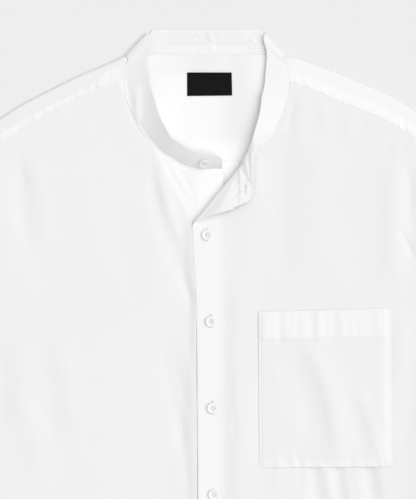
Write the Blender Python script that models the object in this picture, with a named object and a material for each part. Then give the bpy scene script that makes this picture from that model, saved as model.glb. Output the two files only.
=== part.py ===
"""A band collar shirt of white cotton, buttoned and laid flat on its back.

Lengths below are in millimetres, and each mesh is scaled to metres as it is made. X runs towards the
wearer's left, Y towards the collar and Z up from the surface that the shirt lies on. The origin is under the
middle of the shirt.

Each piece of cloth is the middle surface of its wall, worked out as grids of points, and Solidify gives it
its thickness. The left front's top corner is turned back: its placket, its panel and its end of the collar
band are laid out flat first and then rolled over one fold line.
"""

import math
from collections import namedtuple

import bpy
import numpy as np

MM = 0.001
WHITE = (0.93, 0.93, 0.92)
BLACK = (0.012, 0.012, 0.013)
PEARL = (0.90, 0.89, 0.87)

# Driving sizes.
CLOTH = 1.2  # wall of the body, yoke, sleeves and pocket
BAND = 1.6  # wall of the collar band and cuffs
PLACKET = 1.8  # wall of the folded placket
SEAM_GAP = 0.3
BUTTON_WIDTH = 11.5
BUTTON_PITCH = 88.5
FIRST_BUTTON_Y = 170.0
BUTTON_XS = (2.0, 5.9, 7.6, 8.8, 10.0, 11.2)
COLLAR_BUTTON_X = -0.5
LABEL_WALL = 1.0
CUFF_LENGTH = 64.0
CUFF_WIDTH = 114.0
SLEEVE_END_WIDTH = 134.0  # laid flat, where it is gathered into the cuff
HEM_STEP = 9.0  # the back's hem reaches this far below the front's
FRONT_HEM_Y = -371.0  # at the middle of the fronts
YOKE_SEAM_Y = 245.5  # where the yoke meets the back
BAND_HEIGHT = 26.0
BAND_CORNER = 9.0  # radius of the band's rounded front ends

# Heights of the middle surfaces.
BACK_Z = CLOTH / 2
BAND_BACK_Z = BAND / 2
FRONT_Z = 5.0  # a front, the yoke's upper side and a sleeve's upper side
SIDE_Z = 2.1  # a front at its side seam
STAND_Z = 2.3  # the button stand, under the placket
PLACKET_Z = 4.8
COLLAR_FRONT_Z = 3.7  # the right front at the neck, where the band is buttoned
CUFF_Z = 3.8
UNDERARM_ROLL = 1.0  # radius of a sleeve's inner edge

# Where the fronts change height.
SETTLE = 40.0  # the cloth comes down to a side seam, or a sleeve's inner edge, over this width
SETTLE_X = 281.0  # a front lies at SIDE_Z from here to its side seam
SETTLE_Y = (30.0, 90.0)  # it does so fully below the first of these, and not above the second
STAND_SLOPE = 45.0  # width over which the right front comes down to the button stand
LOW_SLOPE_Y = (50.0, 110.0)  # the slope is twice as wide below the first of these
NECK_RISE_Y = (205.0, 238.0)  # the right front rises between these to meet the band
SEAM_FREE = (16.0, 40.0)  # folds die out over these widths at a front's centre and side

# The left front's corner rolls over a line through TURN_POINT, and everything past it faces up again.
TURN_POINT = np.array([36.8, 241.5])
TURN_ALONG = np.array([0.630, 0.776])
TURN_RADIUS = 2.6
TURN_DROP = 0.04  # fall of the turned corner for each millimetre past the roll
TURN_LENGTH = 30.0  # from TURN_POINT to beyond the neck edge, where the roll ends
ROLL_GAP = 0.6  # added between the placket and the front where they roll

# Edges, as knots of smooth curves. "right" and "left" are the wearer's.
ARMHOLE_ROWS = 17  # the body and the sleeves share these points of an armhole
SHOULDER = {
    "right": [(-230, 274), (-209.5, 289), (-189, 302), (-158.5, 318), (-128, 333), (-102, 344), (-82.5, 353)],
    "left": [(230, 283), (215.5, 295.5), (189, 312.5), (158.5, 326), (128, 338.5), (97, 349.5), (84, 353)],
}
YOKE_FRONT = {
    "right": [
        (-227, 254), (-209.5, 265.5), (-189, 278.5), (-158.5, 296), (-128, 311), (-97, 324.5), (-81.5, 329),
    ],
    "left": [
        (227, 263.5), (215.5, 270), (199.5, 279.5), (168.5, 295.5), (138, 307.5), (107.5, 320.5), (87.5, 328),
    ],
}
ARMHOLE = {
    "right": [(-285, 24), (-256.5, 57.5), (-235, 93.5), (-222, 136), (-218.5, 180), (-222, 221), (-227, 254)],
    "left": [(285, 30), (257.5, 62.5), (236, 99.5), (223, 142.5), (219.5, 185.5), (222, 226), (227, 263.5)],
}
SIDE = {
    "right": [(-277, -310), (-279, -240), (-283, -100), (-285, 24)],
    "left": [(277, -310), (279, -240), (283, -100), (285, 30)],
}
HEM = [(0, -380), (97, -378), (179, -368), (230, -351), (263, -328), (277, -310)]
NECK_BACK_Y = 354.5
NECK_RIGHT = [
    (-9, 238), (-20.5, 241), (-30.5, 246.5), (-46, 257), (-56, 267), (-66.5, 281.5), (-76.5, 303),
    (-79.5, 313), (-81.5, 329),
]
NECK_LEFT = [
    (17.5, 236.4), (26.5, 240), (40, 246), (51, 252.5), (58.5, 261), (68.5, 274), (76.5, 287.5), (83, 305),
    (86.5, 320), (87.5, 328),
]
STAND_EDGES = (-9.0, 18.4)  # seam and free edge of the button stand
PLACKET_SEAM_X = 17.5
PLACKET_EDGE = [
    (-7, FRONT_HEM_Y), (-7.5, -19), (-9.5, 113.5), (-12.3, 160), (-12.5, 185), (-9.5, 203), (-8, 226.5),
]
POCKET = [(55.5, -67.5), (190.5, -66.5), (54.5, 91.5), (189.5, 95.0)]  # bottom pair, then top pair
LABEL = [(-18.5, 312.0), (28.0, 312.5), (-18.5, 336.5), (27.5, 336.5)]

# Sections of the collar band from its button end round to its other end, each from the seam to the top edge.
# `run` and `lift` say how far in, and how far up, the section's middle lies, as shares of the way to the
# top; a lift over 1 makes an arch.
Section = namedtuple("Section", "seam_x seam_y seam_z top_x top_y top_z run lift")
BAND_RIGHT = [
    Section(17.5, 238.0, 3.7, 17.0, 251.5, 17.5, 0.30, 0.55),
    Section(5.0, 238.0, 3.7, 4.5, 252.0, 17.5, 0.30, 0.55),
    Section(-9.0, 238.0, 3.7, -9.0, 254.0, 17.5, 0.35, 0.55),
    Section(-20.5, 241.0, 4.0, -16.0, 257.0, 17.5, 0.40, 0.55),
    Section(-30.5, 246.5, 4.4, -23.5, 262.0, 18.0, 0.45, 0.55),
    Section(-46.0, 257.0, 5.0, -35.0, 270.0, 18.5, 0.48, 0.50),
    Section(-56.0, 267.0, 5.0, -40.5, 280.0, 17.5, 0.50, 0.45),
    Section(-66.5, 281.5, 5.0, -47.0, 293.0, 15.0, 0.50, 0.35),
    Section(-76.5, 303.0, 5.0, -52.5, 311.5, 12.0, 0.55, 0.10),
    Section(-79.5, 313.0, 5.0, -55.0, 319.5, 10.5, 0.60, 0.10),
    Section(-81.3, 328.5, 5.0, -57.6, 332.0, 9.0, 0.60, 0.20),
    Section(-81.6, 341.0, 5.0, -59.5, 349.0, 7.0, 0.60, 0.30),
]
CREASE_RIGHT = ((-81.8, 354.0), (-60.3, 376.8))
BAND_BACK = [
    Section(-71.5, 355.0, 0.8, -54.0, 379.3, 0.8, 0.5, 0.5),
    Section(-56.0, 355.0, 0.8, -48.0, 379.9, 0.8, 0.5, 0.5),
    Section(-30.5, 355.0, 0.8, -28.5, 379.9, 0.8, 0.5, 0.5),
    Section(0.0, 355.0, 0.8, 0.0, 379.9, 0.8, 0.5, 0.5),
    Section(30.0, 355.0, 0.8, 28.5, 379.9, 0.8, 0.5, 0.5),
    Section(54.0, 355.0, 0.8, 49.5, 379.9, 0.8, 0.5, 0.5),
    Section(69.0, 355.0, 0.8, 57.0, 379.3, 0.8, 0.5, 0.5),
]
CREASE_LEFT = ((83.4, 353.6), (63.0, 376.6))
BAND_LEFT = [
    Section(84.8, 341.0, 5.0, 63.2, 356.0, 5.4, 0.50, 0.60),
    Section(87.0, 328.5, 5.0, 61.7, 333.0, 6.0, 0.50, 0.80),
    Section(86.3, 320.0, 5.0, 61.0, 324.0, 6.4, 0.50, 0.80),
    Section(83.0, 305.0, 5.0, 58.0, 311.0, 8.0, 0.50, 0.80),
    Section(76.5, 287.5, 5.0, 56.4, 297.2, 9.4, 0.50, 0.90),
    Section(68.5, 274.0, 5.0, 53.8, 285.2, 10.6, 0.50, 0.90),
    Section(58.5, 261.0, 5.0, 50.3, 267.4, 12.0, 0.55, 1.00),
    Section(54.0, 256.0, 5.0, 49.8, 259.0, 14.0, 0.90, 0.70),
]
# Past the place where the band turns over, each section's seam is given laid out flat and rolls with the
# corner, and its middle and top are given where they end.
Turned = namedtuple("Turned", "seam_x seam_y mid_x mid_y mid_z top_x top_y top_z")
BAND_TURNED = [
    Turned(50.0, 252.0, 43.0, 255.5, 11.5, 50.0, 254.0, 15.0),
    Turned(45.5, 249.5, 35.5, 250.5, 12.5, 50.4, 250.5, 15.5),
    Turned(40.0, 246.5, 33.5, 245.0, 12.5, 50.7, 246.5, 15.5),
    Turned(33.0, 243.3, 37.0, 240.0, 12.5, 51.0, 242.0, 15.0),
    Turned(26.5, 240.0, 39.0, 234.0, 11.0, 51.0, 237.0, 14.0),
    Turned(19.0, 237.0, 42.5, 227.5, 10.2, 50.6, 230.5, 12.5),
    Turned(6.5, 232.5, 41.0, 216.0, 10.0, 49.2, 218.5, 10.0),
    Turned(-7.0, 226.5, 38.0, 201.5, 10.4, 47.8, 205.0, 8.4),
]

# The largest folds. Each lies along a curve through three points; a trough has a height below zero.
Fold = namedtuple("Fold", "start middle end width height")
FOLDS_RIGHT = [
    Fold((-196, 257), (-188, 200), (-182, 140), 10, -1.2),  # drop from the shoulder
    Fold((-180, 257), (-168, 200), (-163, 140), 10, 0.8),
    Fold((-58, 247), (-42, 170), (-16, 114), 7, -1.4),  # drawn towards the first button
    Fold((-49, 242), (-36, 193), (-22, 154), 6, 1.2),
    Fold((-147, 80), (-140, 5), (-128, -70), 14, 1.3),  # long step down the body
    Fold((-170, 90), (-162, 0), (-154, -60), 16, -0.6),
    Fold((-218, 75), (-209, 20), (-217, -40), 14, -2.0),
    Fold((-60, -110), (-48, -190), (-52, -330), 16, 1.6),
    Fold((-205, -100), (-214, -190), (-206, -290), 18, 1.8),
    Fold((-110, -130), (-118, -220), (-112, -320), 18, -1.6),
]
FOLDS_LEFT = [
    Fold((84, 286), (79, 215), (81, 104), 14, -1.9),  # valley down from the shoulder
    Fold((110, 285), (114, 215), (112, 130), 16, 0.9),
    Fold((187, 252), (188, 190), (187, 110), 10, 1.0),  # ridge and valley beside the armhole
    Fold((209, 252), (210, 190), (208, 125), 9, -1.8),
    Fold((78, 55), (105, 5), (112, -52), 16, -1.4),  # across the pocket
    Fold((146, 12), (158, -28), (164, -64), 14, -1.0),
    Fold((118, -72), (124, -120), (112, -200), 14, -1.6),
    Fold((146, -72), (152, -150), (150, -250), 16, 2.0),
    Fold((232, 10), (226, -90), (236, -220), 18, 1.8),
    Fold((70, -130), (64, -220), (72, -330), 18, 1.6),
    Fold((200, -150), (196, -240), (204, -320), 16, -1.6),
]
# A sleeve's folds, as its share across from the outer edge and its distance down from the shoulder point.
SLEEVE_FOLDS = [
    Fold((0.18, 20), (0.42, 90), (0.80, 170), 13, 2.2),
    Fold((0.06, 90), (0.40, 170), (0.92, 230), 13, -2.0),
    Fold((0.20, 190), (0.45, 270), (0.85, 310), 13, 2.0),
    Fold((0.15, 300), (0.45, 350), (0.90, 370), 11, -1.8),
    Fold((0.25, 360), (0.42, 440), (0.45, 530), 12, 1.8),
    Fold((0.65, 390), (0.68, 460), (0.66, 540), 11, 1.6),
]
# A sleeve's edges, outward and down from the shoulder point or the underarm.
SLEEVE_OUTER = [(0, 0), (52, -42), (130, -114), (255, -238), (400, -392)]
SLEEVE_INNER = [(0, 0), (38, -25), (88, -72), (165, -150)]
SLEEVE_ANGLE = math.radians(46)  # below straight out
UNDERARM_CLEAR = 0.8  # a sleeve stands off the corner where the side seam ends


def soft_step(t):
    t = np.clip(t, 0, 1)
    return t * t * (3 - 2 * t)


def curve(knots, shares):
    """The points at these shares, 0 to 1, of the length of a smooth curve through the knots."""
    k = np.array(knots, float)
    s = np.r_[0, np.cumsum(np.linalg.norm(np.diff(k, axis=0), axis=1))]
    slope = np.gradient(k, s, axis=0)
    q = np.asarray(shares, float) * s[-1]
    i = np.clip(np.searchsorted(s, q, "right") - 1, 0, len(s) - 2)
    h = (s[i + 1] - s[i])[:, None]
    t = (q - s[i])[:, None] / h
    near = (2 * t**3 - 3 * t**2 + 1) * k[i] + (t**3 - 2 * t**2 + t) * h * slope[i]
    far = (3 * t**2 - 2 * t**3) * k[i + 1] + (t**3 - t**2) * h * slope[i + 1]
    return near + far


def steps(count):
    return np.linspace(0, 1, count + 1)


def chain(*runs):
    """Runs of points that meet end to end, as one run."""
    return np.vstack([runs[0]] + [run[1:] for run in runs[1:]])


def moved(points, distance):
    """A run of plan points moved to its left, as seen when going along it."""
    along = np.gradient(points, axis=0)
    along /= np.linalg.norm(along, axis=1)[:, None]
    return points + distance * np.column_stack([-along[:, 1], along[:, 0]])


def filled(bottom, top, inner, outer, across, up):
    """A grid of plan points between four edges. bottom and top run across, inner and outer run up."""
    u, v = across[None, :, None], up[:, None, None]
    sides = (1 - u) * inner[:, None] + u * outer[:, None]
    ends = (1 - v) * bottom[None] + v * top[None]
    corners = (1 - v) * ((1 - u) * bottom[0] + u * bottom[-1]) + v * ((1 - u) * top[0] + u * top[-1])
    return sides + ends - corners


def with_height(plan, height):
    return np.dstack([plan, np.broadcast_to(height, plan.shape[:2])])


def fold_relief(x, y, folds):
    """The height that the folds add at each plan point."""
    t = steps(12)[:, None]
    relief = np.zeros_like(x)
    for fold in folds:
        start, middle, end = (np.array(p, float) for p in fold[:3])
        path = (1 - t) ** 2 * start + 2 * t * (1 - t) * (2 * middle - (start + end) / 2) + t**2 * end
        nearest = np.full(x.shape, np.inf)
        share = np.zeros_like(x)
        for i, (a, b) in enumerate(zip(path, path[1:])):
            run = b - a
            s = np.clip(((x - a[0]) * run[0] + (y - a[1]) * run[1]) / (run @ run), 0, 1)
            gap = np.hypot(x - a[0] - s * run[0], y - a[1] - s * run[1])
            closer = gap < nearest
            nearest = np.where(closer, gap, nearest)
            share = np.where(closer, (i + s) / (len(path) - 1), share)
        taper = soft_step(share / 0.3) * soft_step((1 - share) / 0.3)
        relief += fold.height * taper * np.exp(-((nearest / fold.width) ** 2))
    return relief


def between(value, limits):
    """A soft step from 0 at the first limit to 1 at the second."""
    return soft_step((value - limits[0]) / (limits[1] - limits[0]))


def side_settle(x, y):
    """How far a front has risen from its side seam: 1 beyond SETTLE from it and beside the armhole."""
    return 1 - (1 - between(y, SETTLE_Y)) * (1 - soft_step((SETTLE_X - np.abs(x)) / SETTLE))


def seam_free(from_centre, x):
    return soft_step(from_centre / SEAM_FREE[0]) * soft_step((SIDE["left"][-1][0] - np.abs(x)) / SEAM_FREE[1])


def right_front_z(x, y):
    low = 1 - between(y, LOW_SLOPE_Y)
    centre = soft_step((-10 - 20 * low - x) / (STAND_SLOPE * (1 + low)))
    middle_z = STAND_Z + (COLLAR_FRONT_Z - STAND_Z) * between(y, NECK_RISE_Y)
    base = middle_z + (FRONT_Z - middle_z) * centre
    base = SIDE_Z + (base - SIDE_Z) * side_settle(x, y)
    return np.maximum(base + seam_free(-12 - x, x) * fold_relief(x, y, FOLDS_RIGHT), SIDE_Z)


def left_front_z(x, y):
    base = PLACKET_Z + (FRONT_Z - PLACKET_Z) * soft_step((x - PLACKET_SEAM_X) / 30)
    base = SIDE_Z + (base - SIDE_Z) * side_settle(x, y)
    return np.maximum(base + seam_free(x - 22, x) * fold_relief(x, y, FOLDS_LEFT), SIDE_Z)


def turned_back(points):
    """Points of the left front laid out flat, with those past the fold line rolled over it."""
    out_of_roll = np.array([TURN_ALONG[1], -TURN_ALONG[0]])
    from_point = points[..., :2] - TURN_POINT
    past = np.where(from_point @ TURN_ALONG < TURN_LENGTH, TURN_RADIUS - from_point @ out_of_roll, 0)
    angle = np.clip(past / TURN_RADIUS, 0, math.pi)
    beyond = np.maximum(past - math.pi * TURN_RADIUS, 0)
    reach = TURN_RADIUS * np.sin(angle) - beyond
    turned = points.copy()
    turned[..., :2] += ((np.maximum(past, 0) - reach) * (past > 0))[..., None] * out_of_roll
    turned[..., 2] += TURN_RADIUS * (1 - np.cos(angle)) - TURN_DROP * beyond
    return turned


def clear_scene():
    for obj in list(bpy.data.objects):
        bpy.data.objects.remove(obj, do_unlink=True)


def material(name, colour, roughness):
    made = bpy.data.materials.new(name)
    made.use_nodes = True
    shader = made.node_tree.nodes["Principled BSDF"]
    shader.inputs["Base Color"].default_value = (*colour, 1)
    shader.inputs["Roughness"].default_value = roughness
    shader.inputs["Metallic"].default_value = 0
    made.diffuse_color = (*colour, 1)
    return made


def add_mesh(name, points, faces, colour, roughness):
    mesh = bpy.data.meshes.new(name)
    mesh.from_pydata([tuple(p) for p in np.asarray(points) * MM], [], faces)
    mesh.materials.append(material(name, colour, roughness))
    obj = bpy.data.objects.new(name, mesh)
    bpy.context.collection.objects.link(obj)
    mesh.shade_smooth()
    return obj


def cloth(name, grids, thickness=CLOTH, colour=WHITE):
    """A wall of cloth on grids of points, which are joined wherever they share a point."""
    index, points, faces = {}, [], []

    def place(p):
        key = tuple(int(round(c * 1000)) for c in p)
        if key not in index:
            index[key] = len(points)
            points.append(p)
        return index[key]

    for grid in grids:
        ids = [[place(p) for p in row] for row in grid]
        for low, high in zip(ids, ids[1:]):
            for i in range(len(low) - 1):
                corners = [low[i], low[i + 1], high[i + 1], high[i]]
                face = [c for n, c in enumerate(corners) if c != corners[n - 1]]
                if len(face) > 2:
                    faces.append(face)
    obj = add_mesh(name, points, faces, colour, 0.85)
    wall = obj.modifiers.new("Wall", "SOLIDIFY")
    wall.thickness = thickness * MM
    wall.offset = 0
    wall.use_quality_normals = True
    return obj


def armhole(side):
    return curve(ARMHOLE[side], steps(ARMHOLE_ROWS))


def armhole_x(side, y):
    points = armhole(side)
    return np.interp(y, points[:, 1], points[:, 0])


def hem_curve(side, shares, start_x=0.0, lift=0.0):
    """Points along the hem from start_x on this side to its side seam."""
    fine = curve(HEM, steps(200))
    first = np.interp(start_x, fine[:, 0], steps(200))
    points = curve(HEM, first + (1 - first) * np.asarray(shares))
    points[:, 0] *= -1 if side == "right" else 1
    points[:, 1] += lift
    return points


def make_back():
    rows = 25
    top_y = YOKE_SEAM_Y - SEAM_GAP
    edges = {}
    for side in ("right", "left"):
        hole = armhole(side)
        hole = hole[hole[:, 1] < top_y - 6]
        seam = curve(SIDE[side], steps(rows - len(hole)))
        edges[side] = chain(seam, np.vstack([hole, (armhole_x(side, top_y), top_y)]))
    half = steps(5)
    hem = chain(hem_curve("right", half)[::-1], hem_curve("left", half))
    across, up = steps(len(hem) - 1), steps(rows)
    ends = np.array([edges["right"][-1], edges["left"][-1]])
    top = ends[0] + across[:, None] * (ends[1] - ends[0])
    plan = filled(hem, top, edges["right"], edges["left"], across, up)
    cloth("back", [with_height(plan, BACK_Z)])


def make_yoke():
    """One piece: flat behind the neck, rolled over each shoulder line, and sewn to the fronts."""
    lines = {side: curve(SHOULDER[side], steps(10)) for side in ("right", "left")}
    fronts = {side: curve(YOKE_FRONT[side], steps(10)) for side in ("right", "left")}
    lines["left"], fronts["left"] = lines["left"][::-1], fronts["left"][::-1]
    roll = (FRONT_Z - BACK_Z) / 2
    over = {}
    for side, line in lines.items():
        down = moved(line, -1.0) - line
        rows = []
        for angle in np.radians((0, 45, 90, 135, 180)):
            plan = line + down * (CLOTH / 2 + roll * (1 - math.sin(angle)))
            rows.append(np.column_stack([plan, np.full(len(line), BACK_Z + roll * (1 - math.cos(angle)))]))
        for share in (0.5, 1.0):
            plan = rows[4][:, :2] * (1 - share) + (fronts[side] + [0, SEAM_GAP]) * share
            rows.append(np.column_stack([plan, np.full(len(line), FRONT_Z)]))
        over[side] = np.array(rows)
    right_end, left_end = over["right"][0][-1, 0], over["left"][0][0, 0]
    neck = np.column_stack([np.linspace(right_end, left_end, 13), np.full(13, NECK_BACK_Y)])
    top = np.vstack([over["right"][0][:, :2], neck[1:-1], over["left"][0][:, :2]])
    corners = [armhole_x(side, YOKE_SEAM_Y) for side in ("right", "left")]
    bottom_x = np.interp(top[:, 0], (top[0, 0], top[-1, 0]), corners)
    bottom = np.column_stack([bottom_x, np.full(len(top), YOKE_SEAM_Y)])
    back = np.array([bottom * (1 - v) + top * v for v in steps(4)])
    cloth("yoke", [with_height(back, BACK_Z), over["right"], over["left"]])


def front_edges(inner_edge, inner_neck, side):
    """Matching points up a front's two edges: its centre edge and neck, and its side seam and armhole."""
    inner = chain(inner_edge, inner_neck)
    seam = curve(SIDE[side], steps(len(inner) - 1 - ARMHOLE_ROWS))
    outer = chain(seam, armhole(side))
    outer[0, 1] += HEM_STEP
    return inner, outer


def front_plan(side, inner, outer, across):
    bottom = hem_curve(side, across, abs(inner[0, 0]), HEM_STEP)
    bottom[0] = inner[0]
    top = curve(YOKE_FRONT[side][::-1], across)
    return filled(bottom, top, inner, outer, across, steps(len(inner) - 1))


def make_right_front():
    edge_x = STAND_EDGES[0] - SEAM_GAP
    neck = curve(NECK_RIGHT, steps(9))
    neck[0, 0] = edge_x
    ys = np.r_[np.linspace(FRONT_HEM_Y, 175, 21), np.linspace(175, neck[0, 1], 4)[1:]]
    inner, outer = front_edges(np.column_stack([np.full(len(ys), edge_x), ys]), neck, "right")
    plan = front_plan("right", inner, outer, steps(15))
    cloth("front_right", [with_height(plan, right_front_z(plan[..., 0], plan[..., 1]))])


def placket_rows():
    """Rows that the placket and the left front share, close together where the corner rolls."""
    top_y = NECK_LEFT[0][1]
    lower, upper = np.linspace(FRONT_HEM_Y, 150, 16), np.linspace(150, 194, 4)
    return np.r_[lower, upper[1:], np.linspace(194, top_y, 10)[1:]]


def make_left_front():
    ys = placket_rows()
    gap = SEAM_GAP + ROLL_GAP * soft_step((ys - 180) / 20)
    neck = curve(NECK_LEFT, steps(12))
    neck[0, 0] = PLACKET_SEAM_X + gap[-1]
    inner, outer = front_edges(np.column_stack([PLACKET_SEAM_X + gap, ys]), neck, "left")
    across = np.r_[0, 0.013, 0.028, 0.048, 0.075, 0.11, np.linspace(0.165, 1, 12)]
    plan = front_plan("left", inner, outer, across)
    cloth("front_left", [turned_back(with_height(plan, left_front_z(plan[..., 0], plan[..., 1])))])


def make_placket():
    """The placket's rows lie straight across it, and slant with its top edge near the neck."""
    ys = placket_rows()
    edge = curve(PLACKET_EDGE, steps(80))
    slant = (ys[-1] - PLACKET_EDGE[-1][1]) * soft_step((ys - 175) / (ys[-1] - 175))
    edge_y = ys - slant
    edge_x = np.interp(edge_y, edge[:, 1], edge[:, 0])
    t = steps(5)
    across = edge_x[:, None] + (PLACKET_SEAM_X - edge_x)[:, None] * t
    plan = np.dstack([across, edge_y[:, None] + slant[:, None] * t])
    cloth("placket_left", [turned_back(with_height(plan, PLACKET_Z))], PLACKET)


def make_stand():
    top_y = NECK_RIGHT[0][1] - SEAM_GAP
    ys = np.r_[np.linspace(FRONT_HEM_Y, 205, 14), np.linspace(205, top_y, 4)[1:]]
    plan = np.dstack(np.meshgrid(np.linspace(*STAND_EDGES, 3), ys))
    rise = (COLLAR_FRONT_Z - STAND_Z) * soft_step((plan[..., 1] - 212) / 26)
    cloth("button_stand_right", [with_height(plan, STAND_Z + rise)])


def band_section(section):
    """Three points of the band: at the seam, at its middle and at the top edge."""
    seam, top = np.array(section[:2]), np.array(section[3:5])
    run, rise = top - seam, section.top_z - section.seam_z
    if section.seam_z > BAND_BACK_Z:
        lean = math.atan2(rise, np.linalg.norm(run))
        seam = seam + run / np.linalg.norm(run) * (SEAM_GAP + 0.1 + BAND / 2 * math.sin(lean))
    middle = seam + (top - seam) * section.run
    return [*seam, section.seam_z, *middle, section.seam_z + rise * section.lift, *top, section.top_z]


def band_crease(ends, angles):
    """Sections round the fold at one side of the neck, where the band turns from the back to a front."""
    seam, top = np.array(ends)
    inward = np.array([top[1] - seam[1], -(top[0] - seam[0])]) / np.linalg.norm(top - seam)
    inward *= -np.sign(seam[0] * inward[0])
    radius = (FRONT_Z - BAND_BACK_Z) / 2
    sections = []
    for a in np.radians(angles):
        shift = inward * (BAND / 2 + radius * (1 - math.sin(a)))
        z = BAND_BACK_Z + radius * (1 - math.cos(a))
        sections.append([*(seam + shift), z, *((seam + top) / 2 + shift), z, *(top + shift), z])
    return sections


def band_turned_section(section):
    off_seam = np.array([-0.45, 0.9]) * (SEAM_GAP + 0.35 * BAND)
    seam = turned_back(np.array([*(section[:2] + off_seam), PLACKET_Z]))
    return [*seam, *section[2:]]


def band_sections():
    """The whole band, from its button end round the back of the neck to its buttonhole end."""
    angles = (0, 45, 90, 135, 180)
    sections = [band_section(s) for s in BAND_RIGHT] + band_crease(CREASE_RIGHT, angles[::-1])
    sections += [band_section(s) for s in BAND_BACK] + band_crease(CREASE_LEFT, angles)
    sections += [band_section(s) for s in BAND_LEFT] + [band_turned_section(s) for s in BAND_TURNED]
    return np.array(sections)


def make_band():
    sections = band_sections()
    # Three points make a section, so this is the distance along the band.
    s = np.r_[0, np.cumsum(np.linalg.norm(np.diff(sections, axis=0), axis=1))] / math.sqrt(3)
    turned_from = s[-len(BAND_TURNED) - 1]
    inner = [
        np.linspace(a, b, max(1, round((b - a) / (4 if a >= turned_from else 8))), endpoint=False)
        for a, b in zip(s, s[1:])
    ]
    near_end = np.array([0.0, 0.9, 2.3, 4.5, 7.5])
    inner = [x for x in np.concatenate(inner) if BAND_CORNER < x < s[-1] - BAND_CORNER]
    stations = np.r_[near_end, inner, (s[-1] - near_end)[::-1]]
    from_end = np.minimum(stations, s[-1] - stations)
    cut = BAND_CORNER - np.sqrt(BAND_CORNER**2 - np.maximum(BAND_CORNER - from_end, 0) ** 2)
    grid = []
    at_stations = curve(sections, stations / s[-1]).reshape(-1, 3, 3)
    for (seam, middle, top), height in zip(at_stations, BAND_HEIGHT - cut):
        t = (steps(4) * height / BAND_HEIGHT)[:, None]
        grid.append((1 - t) ** 2 * seam + 2 * t * (1 - t) * middle + t**2 * top)
    cloth("collar_band", [np.array(grid)], BAND)


def make_pocket():
    """Sewn on the left front, on a second gap that clears the panel's facets."""
    corners = np.array(POCKET, float)
    u, v = steps(9)[None, :, None], steps(10)[:, None, None]
    plan = (1 - v) * ((1 - u) * corners[0] + u * corners[1]) + v * ((1 - u) * corners[2] + u * corners[3])
    above = CLOTH + 2 * SEAM_GAP
    cloth("pocket", [with_height(plan, left_front_z(plan[..., 0], plan[..., 1]) + above)])


def make_label():
    plan = np.array(LABEL).reshape(2, 2, 2)
    cloth("neck_label", [with_height(plan, CLOTH + SEAM_GAP + LABEL_WALL / 2)], LABEL_WALL, BLACK)


def flat_tube(name, outer, inner, root, heights, inner_roll, relief, thickness):
    """A tube lying flat, from the rows of its two plan edges. root bends its first rows in plan."""
    low, high = heights
    outer_roll = (high - low) / 2
    turn = np.radians((30, 90, 150))
    grid = []
    for i, (start, end) in enumerate(zip(outer, inner)):
        width = np.linalg.norm(end - start)
        first, last = outer_roll + thickness / 2, width - inner_roll - thickness / 2
        upper, lower = first + (last - first) * steps(11), first + (last - first) * steps(6)[::-1]
        upper_z = high - 2 * (outer_roll - inner_roll) * (1 - soft_step((last - upper) / SETTLE))
        ring = [(d, z + relief(i, d / width)) for d, z in zip(upper, upper_z)]
        ring += [(last + inner_roll * math.sin(a), low + inner_roll * (1 + math.cos(a))) for a in turn]
        ring += [(d, low) for d in lower]
        ring += [(first - outer_roll * math.sin(a), low + outer_roll * (1 - math.cos(a))) for a in turn]
        ring.append(ring[0])
        grid.append([(*(start + (end - start) * d / width + root(i, d / width)), z) for d, z in ring])
    cloth(name, [np.array(grid)], thickness)


def make_sleeve(side):
    mirror = np.array([-1 if side == "right" else 1, 1])
    hole = np.vstack([armhole(side), SHOULDER[side][0]])[::-1]
    hole = moved(hole, mirror[0] * (SEAM_GAP + 0.1))
    hole[-1] += mirror * (UNDERARM_CLEAR, 0)
    along = np.r_[0, np.cumsum(np.linalg.norm(np.diff(hole, axis=0), axis=1))]
    down = np.array([math.cos(SLEEVE_ANGLE), -math.sin(SLEEVE_ANGLE)]) * mirror
    inwards = np.array([-math.sin(SLEEVE_ANGLE), -math.cos(SLEEVE_ANGLE)]) * mirror
    rows = np.r_[0, 0.03, 0.07, 0.115, np.linspace(0.17, 1, 14)]
    outer = hole[0] + curve(SLEEVE_OUTER, rows) * mirror
    inner_end = outer[-1] + inwards * SLEEVE_END_WIDTH
    inner = curve([hole[-1] + k * mirror for k in np.array(SLEEVE_INNER)] + [inner_end], rows)
    length = np.linalg.norm(outer[-1] - outer[0])
    folds = [
        Fold(*((SLEEVE_END_WIDTH * share, at) for share, at in fold[:3]), fold.width, fold.height)
        for fold in SLEEVE_FOLDS
    ]

    def root(i, share):
        on_hole = [np.interp(share * along[-1], along, hole[:, k]) for k in (0, 1)]
        return (1 - soft_step(rows[i] / 0.3)) * (on_hole - hole[0] - (hole[-1] - hole[0]) * share)

    def relief(i, share):
        edge = soft_step(share / 0.2) * soft_step((1 - share) / 0.2)
        x, y = np.array([share * SLEEVE_END_WIDTH]), np.array([rows[i] * length])
        return edge * fold_relief(x, y, folds)[0]

    flat_tube(f"sleeve_{side}", outer, inner, root, (BACK_Z, FRONT_Z), UNDERARM_ROLL, relief, CLOTH)
    make_cuff(side, (outer[-1] + inner_end) / 2 + down * SEAM_GAP, down, inwards)


def no_change(row, share):
    return 0.0


def make_cuff(side, start, down, inwards):
    line = start + down * CUFF_LENGTH * steps(3)[:, None]
    half = inwards * CUFF_WIDTH / 2
    heights = (BAND / 2, CUFF_Z)
    roll = (CUFF_Z - BAND / 2) / 2
    flat_tube(f"cuff_{side}", line - half, line + half, no_change, heights, roll, no_change, BAND)
    place = start + down * CUFF_LENGTH / 2 - half * 0.65
    make_button(f"button_cuff_{side}", (*place, CUFF_Z + BAND / 2 + SEAM_GAP), (0, 0, 1))


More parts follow.
